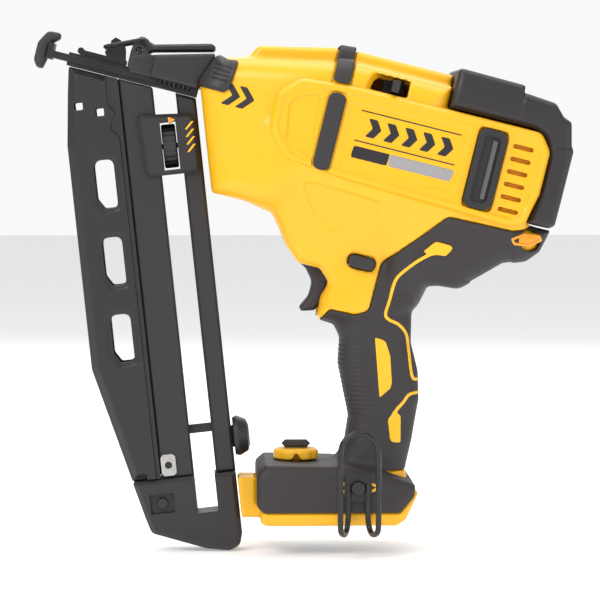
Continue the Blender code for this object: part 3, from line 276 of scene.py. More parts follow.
def tube_along(name, route, radius, material, place=WORLD, body="tool", sides=14):
    """A round bar of one radius along a route, closed at both ends."""
    route = [Vector(p) for p in route]
    normal = (route[1] - route[0]).orthogonal().normalized()
    points, faces = [], []
    for i, here in enumerate(route):
        ahead = (route[min(i + 1, len(route) - 1)] - route[max(i - 1, 0)]).normalized()
        normal = (normal - ahead * normal.dot(ahead)).normalized()
        across = ahead.cross(normal)
        for k in range(sides):
            turn = math.tau * k / sides
            points.append((here + (normal * math.cos(turn) + across * math.sin(turn)) * radius) * MM)
    for i in range(len(route) - 1):
        for k in range(sides):
            j = (k + 1) % sides
            faces.append((i * sides + k, i * sides + j, (i + 1) * sides + j, (i + 1) * sides + k))
    last = (len(route) - 1) * sides
    faces.append(tuple(range(sides - 1, -1, -1)))
    faces.append(tuple(last + k for k in range(sides)))
    made = piece_of(name, points, faces, material, body, place=place)
    made.data.set_sharp_from_angle(angle=math.radians(50))
    return made


# ---------------------------------------------------------------- materials


def group(name, inputs, outputs):
    tree = bpy.data.node_groups.new(name, "ShaderNodeTree")
    for label, kind, start in inputs:
        socket = tree.interface.new_socket(label, in_out="INPUT", socket_type="NodeSocket" + kind)
        socket.default_value = start
    for label, kind in outputs:
        tree.interface.new_socket(label, in_out="OUTPUT", socket_type="NodeSocket" + kind)
    return tree, tree.nodes.new("NodeGroupInput").outputs, tree.nodes.new("NodeGroupOutput").inputs


def node(tree, kind, links=(), **settings):
    """A node with its settings, and its inputs set or linked by name or number."""
    made = tree.nodes.new("ShaderNode" + kind)
    for key, value in settings.items():
        setattr(made, key, value)
    for key, value in links:
        if isinstance(value, bpy.types.NodeSocket):
            tree.links.new(value, made.inputs[key])
        else:
            made.inputs[key].default_value = value
    return made


def math_node(tree, operation, first, second=0.0):
    return node(tree, "Math", [(0, first), (1, second)], operation=operation).outputs[0]


def wear_and_shade_group():
    """Rubbed edges, painted shade that darkens the hollows, and an uneven hand-worn sheen, from the shape of the
    mesh and noise.
    """
    tree, given, out = group(
        "handled_surface_and_shade",
        [("Color", "Color", (1, 1, 1, 1)), ("Rubbed", "Color", (1, 1, 1, 1)), ("Roughness", "Float", 0.5),
         ("Wear", "Float", 0.5), ("Mottle", "Float", 0.1)],
        [("Color", "Color"), ("Roughness", "Float")])
    place = node(tree, "TexCoord").outputs["Object"]
    sharp = node(tree, "NewGeometry").outputs["Pointiness"]
    patches = node(tree, "TexNoise", [("Vector", place), ("Scale", 34.0), ("Detail", 5.0), ("Roughness", 0.6)])
    scuffs = node(tree, "TexNoise", [("Vector", place), ("Scale", 260.0), ("Detail", 6.0), ("Roughness", 0.7)])
    edge = node(tree, "MapRange", [("Value", sharp), ("From Min", 0.515), ("From Max", 0.60)]).outputs["Result"]
    rub = node(tree, "MapRange", [("Value", scuffs.outputs["Fac"]), ("From Min", 0.42), ("From Max", 0.68)])
    mask = math_node(tree, "MULTIPLY", edge, rub.outputs["Result"])
    mask = math_node(tree, "MULTIPLY", mask, given["Wear"])
    # painted shade: the colour is darkened to 0.78 in concave hollows, where less light falls
    hollow = node(tree, "MapRange", [("Value", sharp), ("From Min", 0.44), ("From Max", 0.49), ("To Min", 0.78),
                                     ("To Max", 1.0)]).outputs["Result"]
    centred = math_node(tree, "SUBTRACT", patches.outputs["Fac"], 0.5)
    shade = math_node(tree, "MULTIPLY", centred, given["Mottle"])
    shade = math_node(tree, "ADD", shade, 1.0)
    shade = math_node(tree, "MULTIPLY", shade, hollow)
    toned = node(tree, "HueSaturation", [("Color", given["Color"]), ("Value", shade)]).outputs["Color"]
    mixed = node(tree, "Mix", [("Factor", mask)], data_type="RGBA")
    tree.links.new(toned, mixed.inputs[6])
    tree.links.new(given["Rubbed"], mixed.inputs[7])
    tree.links.new(mixed.outputs[2], out["Color"])
    rough = math_node(tree, "MULTIPLY", centred, 0.22)
    rough = math_node(tree, "ADD", rough, given["Roughness"])
    rough = math_node(tree, "SUBTRACT", rough, math_node(tree, "MULTIPLY", mask, 0.15))
    tree.links.new(rough, out["Roughness"])
    return tree


def grain_group():
    """Height of a spark-eroded mould surface: a fine pebble with a softer roll under it."""
    tree, given, out = group("moulded_grain", [("Pebbles", "Float", 1500.0), ("Roll", "Float", 0.3)],
                             [("Height", "Float")])
    place = node(tree, "TexCoord").outputs["Object"]
    pebble = node(tree, "TexVoronoi", [("Vector", place), ("Scale", given["Pebbles"])], feature="SMOOTH_F1")
    fine = node(tree, "TexNoise", [("Vector", place), ("Scale", 3200.0), ("Detail", 2.0)])
    roll = node(tree, "TexNoise", [("Vector", place), ("Scale", 90.0), ("Detail", 2.0)])
    height = math_node(tree, "ADD", math_node(tree, "MULTIPLY", pebble.outputs["Distance"], 0.7),
                       math_node(tree, "MULTIPLY", fine.outputs["Fac"], 0.5))
    height = math_node(tree, "ADD", height, math_node(tree, "MULTIPLY", roll.outputs["Fac"], given["Roll"]))
    tree.links.new(height, out["Height"])
    return tree


def brushing_group():
    """Height of long fine scratches, for bare and blackened metal."""
    tree, given, out = group("brushed_lines", [("Length", "Float", 60.0), ("Fineness", "Float", 2600.0)],
                             [("Height", "Float")])
    place = node(tree, "TexCoord").outputs["Object"]
    parts = node(tree, "SeparateXYZ", [(0, place)])
    along = math_node(tree, "MULTIPLY", parts.outputs[0], given["Length"])
    rows = [math_node(tree, "MULTIPLY", parts.outputs[i], given["Fineness"]) for i in (1, 2)]
    stretched = node(tree, "CombineXYZ", [(0, along), (1, rows[0]), (2, rows[1])]).outputs[0]
    lines = node(tree, "TexNoise", [("Vector", stretched), ("Scale", 1.0), ("Detail", 4.0)])
    tree.links.new(lines.outputs["Fac"], out["Height"])
    return tree


WEAR_AND_SHADE, GRAIN, BRUSHING = wear_and_shade_group(), grain_group(), brushing_group()


def finish_of(name, colour, rubbed, rough, wear=0.4, mottle=0.12, bump=0.2, metallic=0.0, brushed=False,
              pebbles=1500.0, coat=0.0, specular=0.5):
    """One material: worn colour with painted shade in its hollows, and sheen, and a grained or brushed surface."""
    made = bpy.data.materials.new(name)
    made.use_nodes = True
    tree = made.node_tree
    shader = tree.nodes["Principled BSDF"]
    # this node's colour carries edge wear, mottle and painted shade in the hollows
    worn_and_shaded = tree.nodes.new("ShaderNodeGroup")
    worn_and_shaded.node_tree = WEAR_AND_SHADE
    for label, value in (("Color", (*colour, 1)), ("Rubbed", (*rubbed, 1)), ("Roughness", rough), ("Wear", wear),
                         ("Mottle", mottle)):
        worn_and_shaded.inputs[label].default_value = value
    tree.links.new(worn_and_shaded.outputs["Color"], shader.inputs["Base Color"])
    tree.links.new(worn_and_shaded.outputs["Roughness"], shader.inputs["Roughness"])
    texture = tree.nodes.new("ShaderNodeGroup")
    texture.node_tree = BRUSHING if brushed else GRAIN
    if not brushed:
        texture.inputs["Pebbles"].default_value = pebbles
    rise = node(tree, "Bump", [("Height", texture.outputs["Height"]), ("Strength", bump), ("Distance", 0.0002)])
    tree.links.new(rise.outputs["Normal"], shader.inputs["Normal"])
    shader.inputs["Metallic"].default_value = metallic
    shader.inputs["Specular IOR Level"].default_value = specular
    shader.inputs["Coat Weight"].default_value = coat
    return made


YELLOW = finish_of("yellow_moulding", (0.91, 0.47, 0.008), (0.95, 0.66, 0.16), 0.36, 0.35, 0.06, 0.10,
                   pebbles=2200)
LINE_YELLOW = finish_of("yellow_line", (0.93, 0.50, 0.012), (0.95, 0.62, 0.12), 0.4, 0.3, 0.06, 0.1, pebbles=2200)
ORANGE = finish_of("orange_moulding", (0.83, 0.33, 0.02), (0.9, 0.5, 0.15), 0.36, 0.4, 0.08, 0.1, pebbles=2200)
BLACK = finish_of("black_moulding", (0.021, 0.0185, 0.020), (0.10, 0.095, 0.10), 0.46, 0.4, 0.2, 0.26)
RUBBER = finish_of("black_rubber", (0.029, 0.0245, 0.026), (0.09, 0.08, 0.08), 0.62, 0.3, 0.25, 0.35, pebbles=1100)
COATED = finish_of("black_coating", (0.017, 0.015, 0.0165), (0.08, 0.075, 0.08), 0.42, 0.35, 0.18, 0.22,
                   pebbles=1900)
PLAIN_BLACK = finish_of("black_small_parts", (0.021, 0.0185, 0.020), (0.1, 0.095, 0.1), 0.46, 0.0, 0.15, 0.25)
PLAIN_RUBBER = finish_of("black_soft_parts", (0.027, 0.023, 0.024), (0.1, 0.095, 0.1), 0.6, 0.0, 0.15, 0.3)
WIRE = finish_of("black_wire", (0.014, 0.013, 0.014), (0.2, 0.19, 0.18), 0.3, 0.0, 0.1, 0.06)
DARK_STEEL = finish_of("blackened_steel", (0.045, 0.042, 0.043), (0.3, 0.29, 0.28), 0.34, 0.0, 0.2, 0.2, 0.8, True)
STEEL = finish_of("bare_steel", (0.46, 0.45, 0.44), (0.75, 0.74, 0.72), 0.3, 0.5, 0.2, 0.3, 1.0, True)
ALUMINIUM = finish_of("cast_aluminium", (0.5, 0.5, 0.51), (0.7, 0.7, 0.7), 0.45, 0.4, 0.2, 0.5, 1.0, pebbles=700)
COPPER = finish_of("copper_winding", (0.72, 0.3, 0.14), (0.85, 0.5, 0.3), 0.3, 0.2, 0.2, 0.3, 1.0, True)
BOARD = finish_of("circuit_board", (0.02, 0.13, 0.05), (0.1, 0.3, 0.1), 0.4, 0.1, 0.2, 0.1)
LABEL_GREY = finish_of("label_grey", (0.38, 0.37, 0.37), (0.5, 0.5, 0.5), 0.34, 0.2, 0.1, 0.05, 0.3)
LABEL_BLACK = finish_of("label_black", (0.02, 0.018, 0.02), (0.1, 0.1, 0.1), 0.35, 0.2, 0.1, 0.05)
LENS = finish_of("lamp_lens", (0.10, 0.10, 0.105), (0.3, 0.3, 0.3), 0.15, 0.2, 0.1, 0.05, coat=0.6)


# ---------------------------------------------------------------- the housing's shape

REAR = BARREL_REAR
BARREL = [(17.5, -55, 3), (-3.5, 2.5, 1), (3, 18.5, 4), (20, 23, 8), (66, 31.5, 8), (80, 34, 8), (CAP_FRONT, 34),
          (CAP_FRONT, 22.5), (REAR - 6, 22.5, 7), (REAR, 12, 7), (REAR, -12, 7), (REAR - 4, -33, 6),
          (REAR - 14, -37, 3), (62, -37, 8), (48, -55, 8)]
RIDGE = [(17, 16), (19, 22.5, 1), (23, 30.5, 2), (64, RIDGE_TOP - 1.2, 6), (78, RIDGE_TOP, 6),
         (CAP_FRONT, RIDGE_TOP), (CAP_FRONT, 16)]
NECK = [(40, -12), (42, -50, 3), (52.5, -57.5, 8), (60, -66.5, 8), (65, -73.5, 3), (73.5, -81.3, 1),
        (86, -81.3, 3), (93, -88, 6), (91.3, -107.8, 1), (119, -101, 6), (121, -68, 6), (152, -33), (152, -12)]
BELLY = [(122, -12), (122, -70), (120, -94), (143, -88, 4), (146, -77, 3), (152, -75, 6), (164, -74, 8),
         (184, -54.5, 5), (196, -50, 6), (REAR + 7, -43, 5), (REAR + 10, -29.8), (REAR - 8, -29.8),
         (REAR - 8, -12)]
HANDLE = [(52, 146), (29, 126), (29.5, 113.8, 1), (36, 110.5, 5), (39.5, 103, 5), (38.5, 88, 8), (42, 70, 8),
          (44.5, 58, 8), (42.5, 44, 8), (36, 32, 5), (36, 12), (76, 12), (76.5, 31, 8), (80, 46, 8), (84, 68, 8),
          (83.5, 84, 8), (79.5, 100, 8), (80, 118, 5), (85.5, 130), (88, 158)]
FOOT = [(-5.5, 2), (-2.8, 0), (70, 0, 1), (75, 3.5, 2), (82, 18.5, 2), (75, 23, 3), (40, 30, 6), (-1, 31, 3),
        (-5.5, 28, 2)]
SLEEVE = [(-7, 10.5, 3), (-7, 29.5, 4), (-2.5, 33.6, 2), (36, 32.8, 6), (60, 30, 6), (80, 23, 2), (78.5, 16, 2),
          (71, 8, 3), (-3.5, 8, 3)]
TONGUE = [(-15.7, 2.2), (-18.1, 25, 1), (6, 25), (6, 2.2)]
PANEL = [(39, -14, 12), (38, 8, 10), (50, 19, 10), (80, 21.3, 8), (CAP_FRONT, 21.3, 3), (REAR - 9, 21.3, 7),
         (REAR - 2, 12, 7), (REAR - 2, -12, 7), (REAR - 6, -30, 6), (REAR - 15, -34, 3), (85, -31, 6),
         (52, -28, 10)]
CAP = [(CAP_FRONT, 22.3), (CAP_FRONT, 45.3, 3), (171.6, 44.7, 2), (171.8, 40.7, 1), (190, 39.2, 5), (196, 32.8, 3),
       (201, 31, 3), (204.3, 18, 2), (206, 16, 2), (206, -27, 2), (203, -29.3, 1), (190.5, -29.3), (193, -12, 4),
       (193, 9, 5), (189, 19, 5), (182, 22.3, 5)]
GRIP_LINE = [(92, -112), (96.6, -102, 3), (111, -101.6, 4), (118, -98, 5), (118.5, -70, 4), (147, -36, 5),
             (184, -35.2, 4), (190, -33, 3), (194, -29.6, 1), (240, -29.6), (240, -260), (-20, -260)]
TRIGGER_SLOT = [(70, -79.5), (78, -72), (98, -72), (98, -81), (104, -85), (104, -101), (92, -106.2), (80, -112),
                (70, -100)]


def whole_body(x, y, z):
    """The housing and its rubber as one solid, before it is split into pieces."""
    u, v = to_drive(x, z)
    side = np.abs(y)
    barrel_half = BARREL_HALF - 9 * (1 - ramp(u, -4, 58)) - 1.2 * ramp(np.abs(v + 7), 12, 34)
    barrel = both(outline(u, v, BARREL), side - barrel_half, 12)
    ridge = both(outline(u, v, RIDGE), side - 15 + 1.5 * ramp(v, 32, 41), 3.5)
    neck_half = NECK_HALF + 14 * ramp(v, -78, -34)
    neck = both(outline(u, v, NECK), side - neck_half, 6)
    belly_half = BELLY_HALF + 2.0 * ramp(v, -60, -34) - 9 * (1 - ramp(v, -92, -58))
    belly = both(outline(u, v, BELLY), side - belly_half, 10)
    handle_half = HANDLE_HALF - 1.0 * ramp(z, 100, 125) + 1.5 * (1 - ramp(z, 30, 60)) - 1.0 * ramp(z, 45, 60)
    handle = both(outline(x, z, HANDLE), side - handle_half, 12)
    foot = both(outline(x, z, FOOT), side - FOOT_HALF, 4)
    tongue = both(outline(x, z, TONGUE), side - 13, 1.5)
    body = either(barrel, ridge, 2.5)
    body = either(body, neck, 9)
    body = either(body, belly, 5)
    body = either(body, handle, 7)
    body = either(body, foot, 6)
    return either(body, tongue, 1)


def rubber_body(x, y, z):
    """The outside of the overmould: the whole body with the thicker sleeve on its foot."""
    sleeve = both(outline(x, z, SLEEVE), np.abs(y) - FOOT_HALF - SLEEVE_SKIN, 5.5)
    return either(whole_body(x, y, z), sleeve, 5)


def rubber_zone(x, z):
    """Where the tool is covered in rubber, seen from the side."""
    u, v = to_drive(x, z)
    grip = both(outline(u, v, GRIP_LINE), 29 - z)
    return either(grip, outline(x, z, SLEEVE) - 0.6)


def openings(u, v, x, y, z):
    """What is cut from the housing and the rubber alike."""
    side = np.abs(y)
    cut = both(outline(u, v, TRIGGER_SLOT), side - TRIGGER_HALF - TRIGGER_RUN)
    bay = both(both(block(x, -2.3, 90), side - 32), z - 14)
    return either(cut, bay)


def louvre_rows(u, v):
    rows = None
    for row in range(6):
        top = 11.6 - 7.1 * row
        slot = oblong(u, v, (172, top - 2.4), (183.5, top), 1.0)
        rows = slot if rows is None else np.minimum(rows, slot)
    return rows


def housing(side_sign):
    def shape(x, y, z):
        u, v = to_drive(x, z)
        side = np.abs(y)
        outside = whole_body(x, y, z)
        rubber = both(rubber_zone(x, z) - SEAM, -(rubber_body(x, y, z) + WALL))
        made = less(outside, rubber, 0.5)
        made = less(made, outline(u, v, CAP) - SEAM, 0.5)
        made = less(made, outside + 2 * WALL)
        made = less(made, openings(u, v, x, y, z), 0.6)
        made = less(made, both(outline(u, v, [(-9, -6.5), (-9, 6), (9, 6), (9, -6.5)]), side - 12), 0.5)
        button = oblong(u, v, (99.6, -76.4), (115.4, -68.6), 3.4)
        made = less(made, both(button, 12 - side), 0.6)
        fin = outline(u, v, [(-1.8, 4.2, 1), (3.2, 17.8, 1), (13.9, 20.4, 2), (12.4, 4.2, 1)])
        made = less(made, both(fin, 27 - side), 0.4)
        hollow = outline(u, v, [(63, -35.6, 4), (112, -37.6, 6), (104, -50, 12), (90, -60, 10), (76, -54, 8)])
        made = less(made, both(hollow, -(outside + 1.0)), 1.2)
        strap = oblong(u, v, (66.7, 19.5), (77.1, 50), 1)
        made = less(made, both(strap, -(outside + 1.0)), 0.3)
        vent = oblong(u, v, (151.7, -28.3), (168.3, 16.3), 3)
        made = less(made, both(vent, 35.7 - side))
        made = less(made, both(louvre_rows(u, v), 33.5 - side), 0.3)
        if side_sign < 0:
            slope = 19.0 + 20 * (1 - ramp(u, 80, 100))
            window = oblong(u, v, (80, 21.4), (109, 31), 1.2)
            made = less(made, both(window, slope - side), 0.6)
        lid = both(oblong(x, np.abs(y), (4.6, -1), (25.4, 10.8), 3), 33.2 - z)
        made = less(made, lid)
        return both(made, SEAM / 2 - side_sign * y, 0.3)
    return shape


def overmould(side_sign):
    def shape(x, y, z):
        u, v = to_drive(x, z)
        outside = rubber_body(x, y, z)
        ribs = both(outline(x, z, [(30, 64), (30, 101, 8), (57.5, 101, 3), (60, 62, 4), (44, 56, 4)]),
                    -6 - outside)
        fade = ramp(-outline(x, z, [(30, 60), (30, 104, 8), (57.5, 102, 3), (59.5, 64, 4), (44, 56, 4)]), 0, 2.5)
        outside = outside + 0.45 * fade * (0.5 + 0.5 * np.cos(math.tau * (z + 0.05 * x) / 2.6))
        belly_step = outline(u, v, [(128, -44, 4), (186, -42, 4), (190, -58, 6), (172, -68, 8), (150, -70, 8),
                                    (136, -66, 6)])
        outside = outside + 0.7 * ramp(-belly_step, -1.2, 0.6) * ramp(v, -100, -95)
        zone = rubber_zone(x, z) + SEAM
        made = both(outside, zone, 0.8)
        made = less(made, rubber_body(x, y, z) + RUBBER_SKIN)
        made = less(made, openings(u, v, x, y, z), 0.5)
        eyelet = np.hypot(u - 194.5, v + 38.0) - 5.9
        made = less(made, both(eyelet, 27 - np.abs(y)), 0.3)
        lid = both(np.hypot(x - 15, y) - 11.2, 30 - z)
        made = less(made, lid, 0.3)
        return both(made, SEAM / 2 - side_sign * y, 0.3)
    return shape


def side_panel(side_sign):
    """The raised panel on the barrel's side: a bevelled rim round a flat face, with its recesses and slots."""
    def shape(u, y, v):
        side = side_sign * y
        edge = outline(u, v, PANEL)
        height = BARREL_HALF - 0.6 + (PANEL_RISE + 0.6) * ramp(-edge, -0.4, 2.6) - 0.8 * ramp(-edge, 4.2, 5.4)
        small = outline(u, v, [(46.5, 3, 3), (50, 8.5, 5), (63, 12.5, 2), (65.5, -23, 2), (50, -18, 4)])
        badge = outline(u, v, [(79, 12.5, 3), (148, 13.5, 3), (146.5, -22.5, 3), (81, -25.5, 3)])
        height = height - 1.1 * ramp(-small, -0.3, 1.0) - 0.7 * ramp(-badge, -0.3, 1.1)
        grille = outline(u, v, [(170, 14, 2), (183, 14.5, 4), (187.5, 6, 4), (187.5, -22, 4), (183, -29.5, 4),
                                (170, -29.5, 2)])
        height = height - 0.6 * ramp(-grille, -0.3, 0.9)
        made = both(edge + 0.3, side - height, 0.3)
        made = both(made, BARREL_HALF - 2.2 - side)
        made = less(made,
                    both(oblong(u, v, (66.2, -28.9), (77.4, 15.9), 5), BARREL_HALF + PANEL_RISE - 1.2 - side), 0.4)
        made = less(made, oblong(u, v, (151.6, -28.4), (168.4, 16.4), 3), 0.4)
        return less(made, louvre_rows(u, v), 0.4)
    return shape


def rear_cap(u, y, v):
    side = np.abs(y)
    half = 35.6 - 1.5 * ramp(v, 30, 45) - 1.0 * (1 - ramp(v, -32, -10))
    made = both(outline(u, v, CAP) + SEAM, side - half, 4)
    hollow = both(outline(u, v, CAP) + 3.0, side - half + 3)
    inner = both(outline(u, v, [(130, 20), (130, 41.4), (190, 36), (198, 27), (201, 14), (201, -40), (150, -40)]),
                 side - 32)
    made = less(made, both(hollow, inner))
    seam = np.minimum(stroke(u, v, [(192, 15.4), (210, 16.6)], 0.35),
                      stroke(u, v, [(171.7, 20), (171.7, 50)], 0.3))
    return less(made, both(seam, -(made + 0.6)), 0.2)


def top_strap(u, y, v):
    x = DRIVE_X + u * math.cos(math.radians(14)) + v * math.sin(math.radians(14))
    z = DRIVE_Z - u * math.sin(math.radians(14)) + v * math.cos(math.radians(14))
    outside = whole_body(x, y, z)
    made = both(outside - 2.2, both(block(u, 67.1, 76.7), 20.8 - v, 1.5), 1.2)
    return both(made, -outside + 0.9)


for sign, hand in ((-1, "left"), (1, "right")):
    span = (-42, -SEAM / 2) if sign < 0 else (SEAM / 2, 42)
    made = mould("housing_shell_" + hand, housing(sign), (-49, span[0] - 0.5, -1), (172, span[1] + 0.5, 278), 1.0,
                 YELLOW)
    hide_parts("housing_" + hand)
    made = mould("grip_overmould_" + hand, overmould(sign), (-9, span[0] - 0.5, 5), (172, span[1] + 0.5, 185), 0.8,
                 RUBBER)
    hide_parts("grip_" + hand)
    made = mould("side_panel_" + hand, side_panel(sign), (36, *([-41] if sign < 0 else [33]), -36),
                 (195, *([-33] if sign < 0 else [41]), 24), 0.6, YELLOW, DRIVE)

made = mould("rear_end_cap", rear_cap, (131, -37, -32), (208, 37, 47), 0.8, BLACK, DRIVE)
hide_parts("rear_cap")
made = mould("ridge_strap", top_strap, (66, -41, 18), (78, 41, 45), 0.6, RUBBER, DRIVE)
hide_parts("top_strap")


# ---------------------------------------------------------------- yellow inlays on the rubber


FLOW_UPPER = smooth_line([(91.5, 151.4), (86.5, 149.4), (79.5, 145.2), (71.5, 138.5), (68.6, 133), (66.5, 124),
                          (64.6, 116.5), (66.5, 113.4), (72, 110.6), (76.2, 105.5), (77.6, 98), (78.8, 86.5),
                          (80, 81), (82.5, 79.6), (92, 80)])
FLOW_LOWER = smooth_line([(92, 72.6), (82.5, 72.2), (77.8, 71.2), (74.5, 67), (71, 63.2), (69.5, 61)])
BELLY_PILL = [(84, 151.6, 1.5), (91.5, 157.5, 2.5), (102, 154.6, 2.5), (97, 149.2, 2.5), (88, 150.6, 1.5)]
FOOT_PILL = [(69.8, 62.5, 1.5), (73.2, 59.5, 2), (73, 44.5, 0.8), (67.2, 44.8, 3), (65.8, 57.5, 3)]
INSERT = [(58.6, 103.6, 0.8), (64.6, 101.6, 4), (67.3, 93, 8), (68.2, 78, 5), (67.2, 74.8, 2), (61.2, 69.6, 0.8)]


def inlay(side_sign, flat, proud):
    """A thin coloured piece that lies on the rubber and follows its shape."""
    def shape(x, y, z):
        outside = rubber_body(x, y, z)
        made = both(outside - proud, flat(x, z), 0.25)
        made = both(made, -(outside + 1.0))
        return both(made, 1.0 - side_sign * y)
    return shape


def flow_line(x, z):
    half = 0.95
    lines = np.minimum(stroke(x, z, FLOW_UPPER, half), stroke(x, z, FLOW_LOWER, half))
    return either(lines, np.minimum(outline(x, z, BELLY_PILL), outline(x, z, FOOT_PILL)), 1.0)


def hook_eye(x, z):
    """The outline drawn round the hook's screw."""
    eye = outline(x, z, [(34, 22, 1), (42, 24.6, 2), (45, 28.2, 4), (51, 28.2, 4), (54, 24.6, 2), (60, 22, 1),
                         (54, 19.4, 2), (51, 15.8, 4), (45, 15.8, 4), (42, 19.4, 2)])
    return np.maximum(np.abs(eye) - 0.8, block(x, 37, 60))


mould_pair("flow_line", lambda side: inlay(side, flow_line, 0.35), (62, 42), (104, 160), (8, 34), 0.5,
           LINE_YELLOW)
mould_pair("grip_insert", lambda side: inlay(side, lambda x, z: outline(x, z, INSERT), 0.4), (57, 68), (70, 105),
           (12, 21), 0.4, LINE_YELLOW)
made = mould("hook_surround", inlay(-1, hook_eye, 0.3), (34, -41, 14), (62, -36, 30), 0.4, LINE_YELLOW)


# ---------------------------------------------------------------- marks on the side panel and barrel

def decal(name, flat, low, high, face, material):
    """A printed mark as a thin skin on a flat face of the left and right side."""
    def shape_for(side_sign):
        return lambda a, y, b: np.maximum(flat(a, b), np.abs(side_sign * y - face) - 0.3)
    mould_pair(name, shape_for, low, high, (face - 1, face + 1), 0.4, material, place=DRIVE)


def slanted_bar(u, v, left, right, bottom, top, radius=0.8):
    lean = 0.09 * (top - bottom)
    return outline(u, v, [(left, bottom, radius), (right, bottom, radius), (right + lean, top, radius),
                          (left + lean, top, radius)])


def badge_lines(u, v):
    lines = np.minimum(block(v, 8.6, 9.5), block(v, -8.2, -7.3))
    lines = np.maximum(lines, block(u, 86, 143))
    bars = None
    for k in range(5):
        left = 91 + 10.2 * k
        bar = outline(u, v,
                      [(left, -4.6, 0.8), (left + 5.2, -4.6, 0.8), (left + 8.6, 0.6, 0.8), (left + 5.2, 5.8, 0.8),
                             (left, 5.8, 0.8), (left + 3.4, 0.6, 0.8)])
        bars = bar if bars is None else np.minimum(bars, bar)
    return np.minimum(lines, bars)


def label_dark(u, v):
    return np.maximum(slanted_bar(u, v, 86, 143, -18.2, -10.6, 1.6), u - 107)


def label_light(u, v):
    return np.maximum(slanted_bar(u, v, 86, 143, -18.2, -10.6, 1.6), 107.2 - u)


def chevron_mark(u, v):
    first = outline(u, v,
                    [(10, -6, 0.6), (14.5, -6, 0.6), (20, 0, 0.6), (14.5, 6, 0.6), (10, 6, 0.6), (15.5, 0, 0.6)])
    second = outline(u, v,
                     [(18, -6, 0.6), (22.5, -6, 0.6), (28, 0, 0.6), (22.5, 6, 0.6), (18, 6, 0.6), (23.5, 0, 0.6)])
    return np.minimum(first, second)


BADGE_FACE = BARREL_HALF + PANEL_RISE - 1.5
decal("badge_print", badge_lines, (84, -10), (146, 11), BADGE_FACE, LABEL_BLACK)
decal("label_dark", label_dark, (84, -20), (146, -9), BADGE_FACE, LABEL_BLACK)
decal("label_light", label_light, (84, -20), (146, -9), BADGE_FACE, LABEL_GREY)


def on_barrel(u, v):
    """A point of the barrel's frame in the world."""
    turn = math.radians(DRIVE_TILT)
    return DRIVE_X + u * math.cos(turn) + v * math.sin(turn), DRIVE_Z - u * math.sin(turn) + v * math.cos(turn)


def barrel_chevron(side_sign):
    def shape(u, y, v):
        x, z = on_barrel(u, v)
        outside = whole_body(x, y, z)
        made = np.maximum(np.abs(outside) - 0.35, chevron_mark(u, v))
        return np.maximum(made, 10 - side_sign * y)
    return shape


mould_pair("barrel_mark", barrel_chevron, (8, -8), (30, 8), (24, 38), 0.3, LABEL_BLACK,
           place=DRIVE)


# ---------------------------------------------------------------- nose hood, lamp fins, trim


def lamp_fin(side_sign):
    """The wing beside the nose that holds a work lamp, bent over the front of the barrel."""
    def shape(u, y, v):
        x, z = on_barrel(u, v)
        outside = whole_body(x, y, z)
        flat = outline(u, v, [(-3.6, 0.6, 1), (10.6, 0.2, 2.5), (13.2, 3, 2), (14.4, 19.6, 1.5), (8.4, 18.8, 1),
                              (1.2, 21.5, 1), (-6, 18, 1)])
        made = both(outside - 1.9, flat, 0.9)
        made = both(made, -(outside - 0.15))
        rib = None
        for k in range(4):
            line = stroke(u, v, [(2.2, 6.6 + 2.6 * k), (11, 6.4 + 2.6 * k)], 0.45)
            rib = line if rib is None else np.minimum(rib, line)
        made = less(made, both(rib, -(outside - 1.3)), 0.2)
        return both(made, 17.6 - side_sign * y, 0.4)
    return shape


def nose_hood(u, y, v):
    side = np.abs(y)
    cover = outline(u, v,
                    [(-43.5, -1, 1), (-43.5, 8, 2), (-39, 9.6, 2), (-34, 11, 2), (0.5, 20.4, 1), (1.6, 18, 1),
                           (-3.8, 2.4, 0.5), (-4, -1, 0.5)])
    made = both(cover, side - 16.6, 2.0)
    made = less(made, both(block(u, -50, -31), 12.4 - side), 1.0)
    ear = outline(u, v,
                  [(-45, 1, 1), (-45, 12.4, 3), (-40.5, 16.2, 4.5), (-36, 12.8, 3), (-31, 9, 1), (-31, 1, 1)])
    ears = both(both(ear, side - 12.2), 9.5 - side, 0.6)
    made = either(made, ears, 0.6)
    made = less(made, both(block(v, -20, 2.3), side - 11.5))
    return less(made, np.hypot(u + 40.5, v - 12.0) - 1.8)


def pad_shape(side_sign):
    def shape(u, y, v):
        side = side_sign * y
        edge = oblong(u, v, (66.9, -28.2), (76.7, 15.2), 4.6)
        top = BARREL_HALF + PANEL_RISE + 1.2
        return both(both(edge, side - top, 1.6), top - 2.6 - side)
    return shape


def eyelet(side_sign):
    """The small hexagonal frame near the belly's rear edge."""
    def shape(u, y, v):
        x, z = on_barrel(u, v)
        outside = rubber_body(x, y, z)
        hexagon = outline(u, v, [(183.5, -39.5, 1), (190.5, -34.6, 1), (199, -33.6, 1), (201.5, -36.5, 1),
                                 (194.5, -41.6, 1), (186, -42.6, 1)])
        made = both(outside - 0.5, hexagon, 0.4)
        made = both(made, -(outside + 0.9))
        made = less(made, both(hexagon + 1.4, -(outside + 0.2)), 0.3)
        return both(made, 4 - side_sign * y)
    return shape


mould_pair("work_lamp_fin", lamp_fin, (-8, -1), (16, 24), (16, 40), 0.45, BLACK, "lamp_fin",
           DRIVE)
mould_pair("bumper_pad", pad_shape, (66, -30), (78, 17), (37, 42), 0.5, RUBBER, "side_pad", DRIVE)
mould_pair("lanyard_eye", eyelet, (182, -44), (203, -32), (10, 34), 0.4, ORANGE, "rear_eyelet",
           DRIVE)
made = mould("hood_over_nose", nose_hood, (-47, -18, -2), (3, 18, 22), 0.5, BLACK, DRIVE)
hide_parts("nose_hood")


# ---------------------------------------------------------------- magazine guard


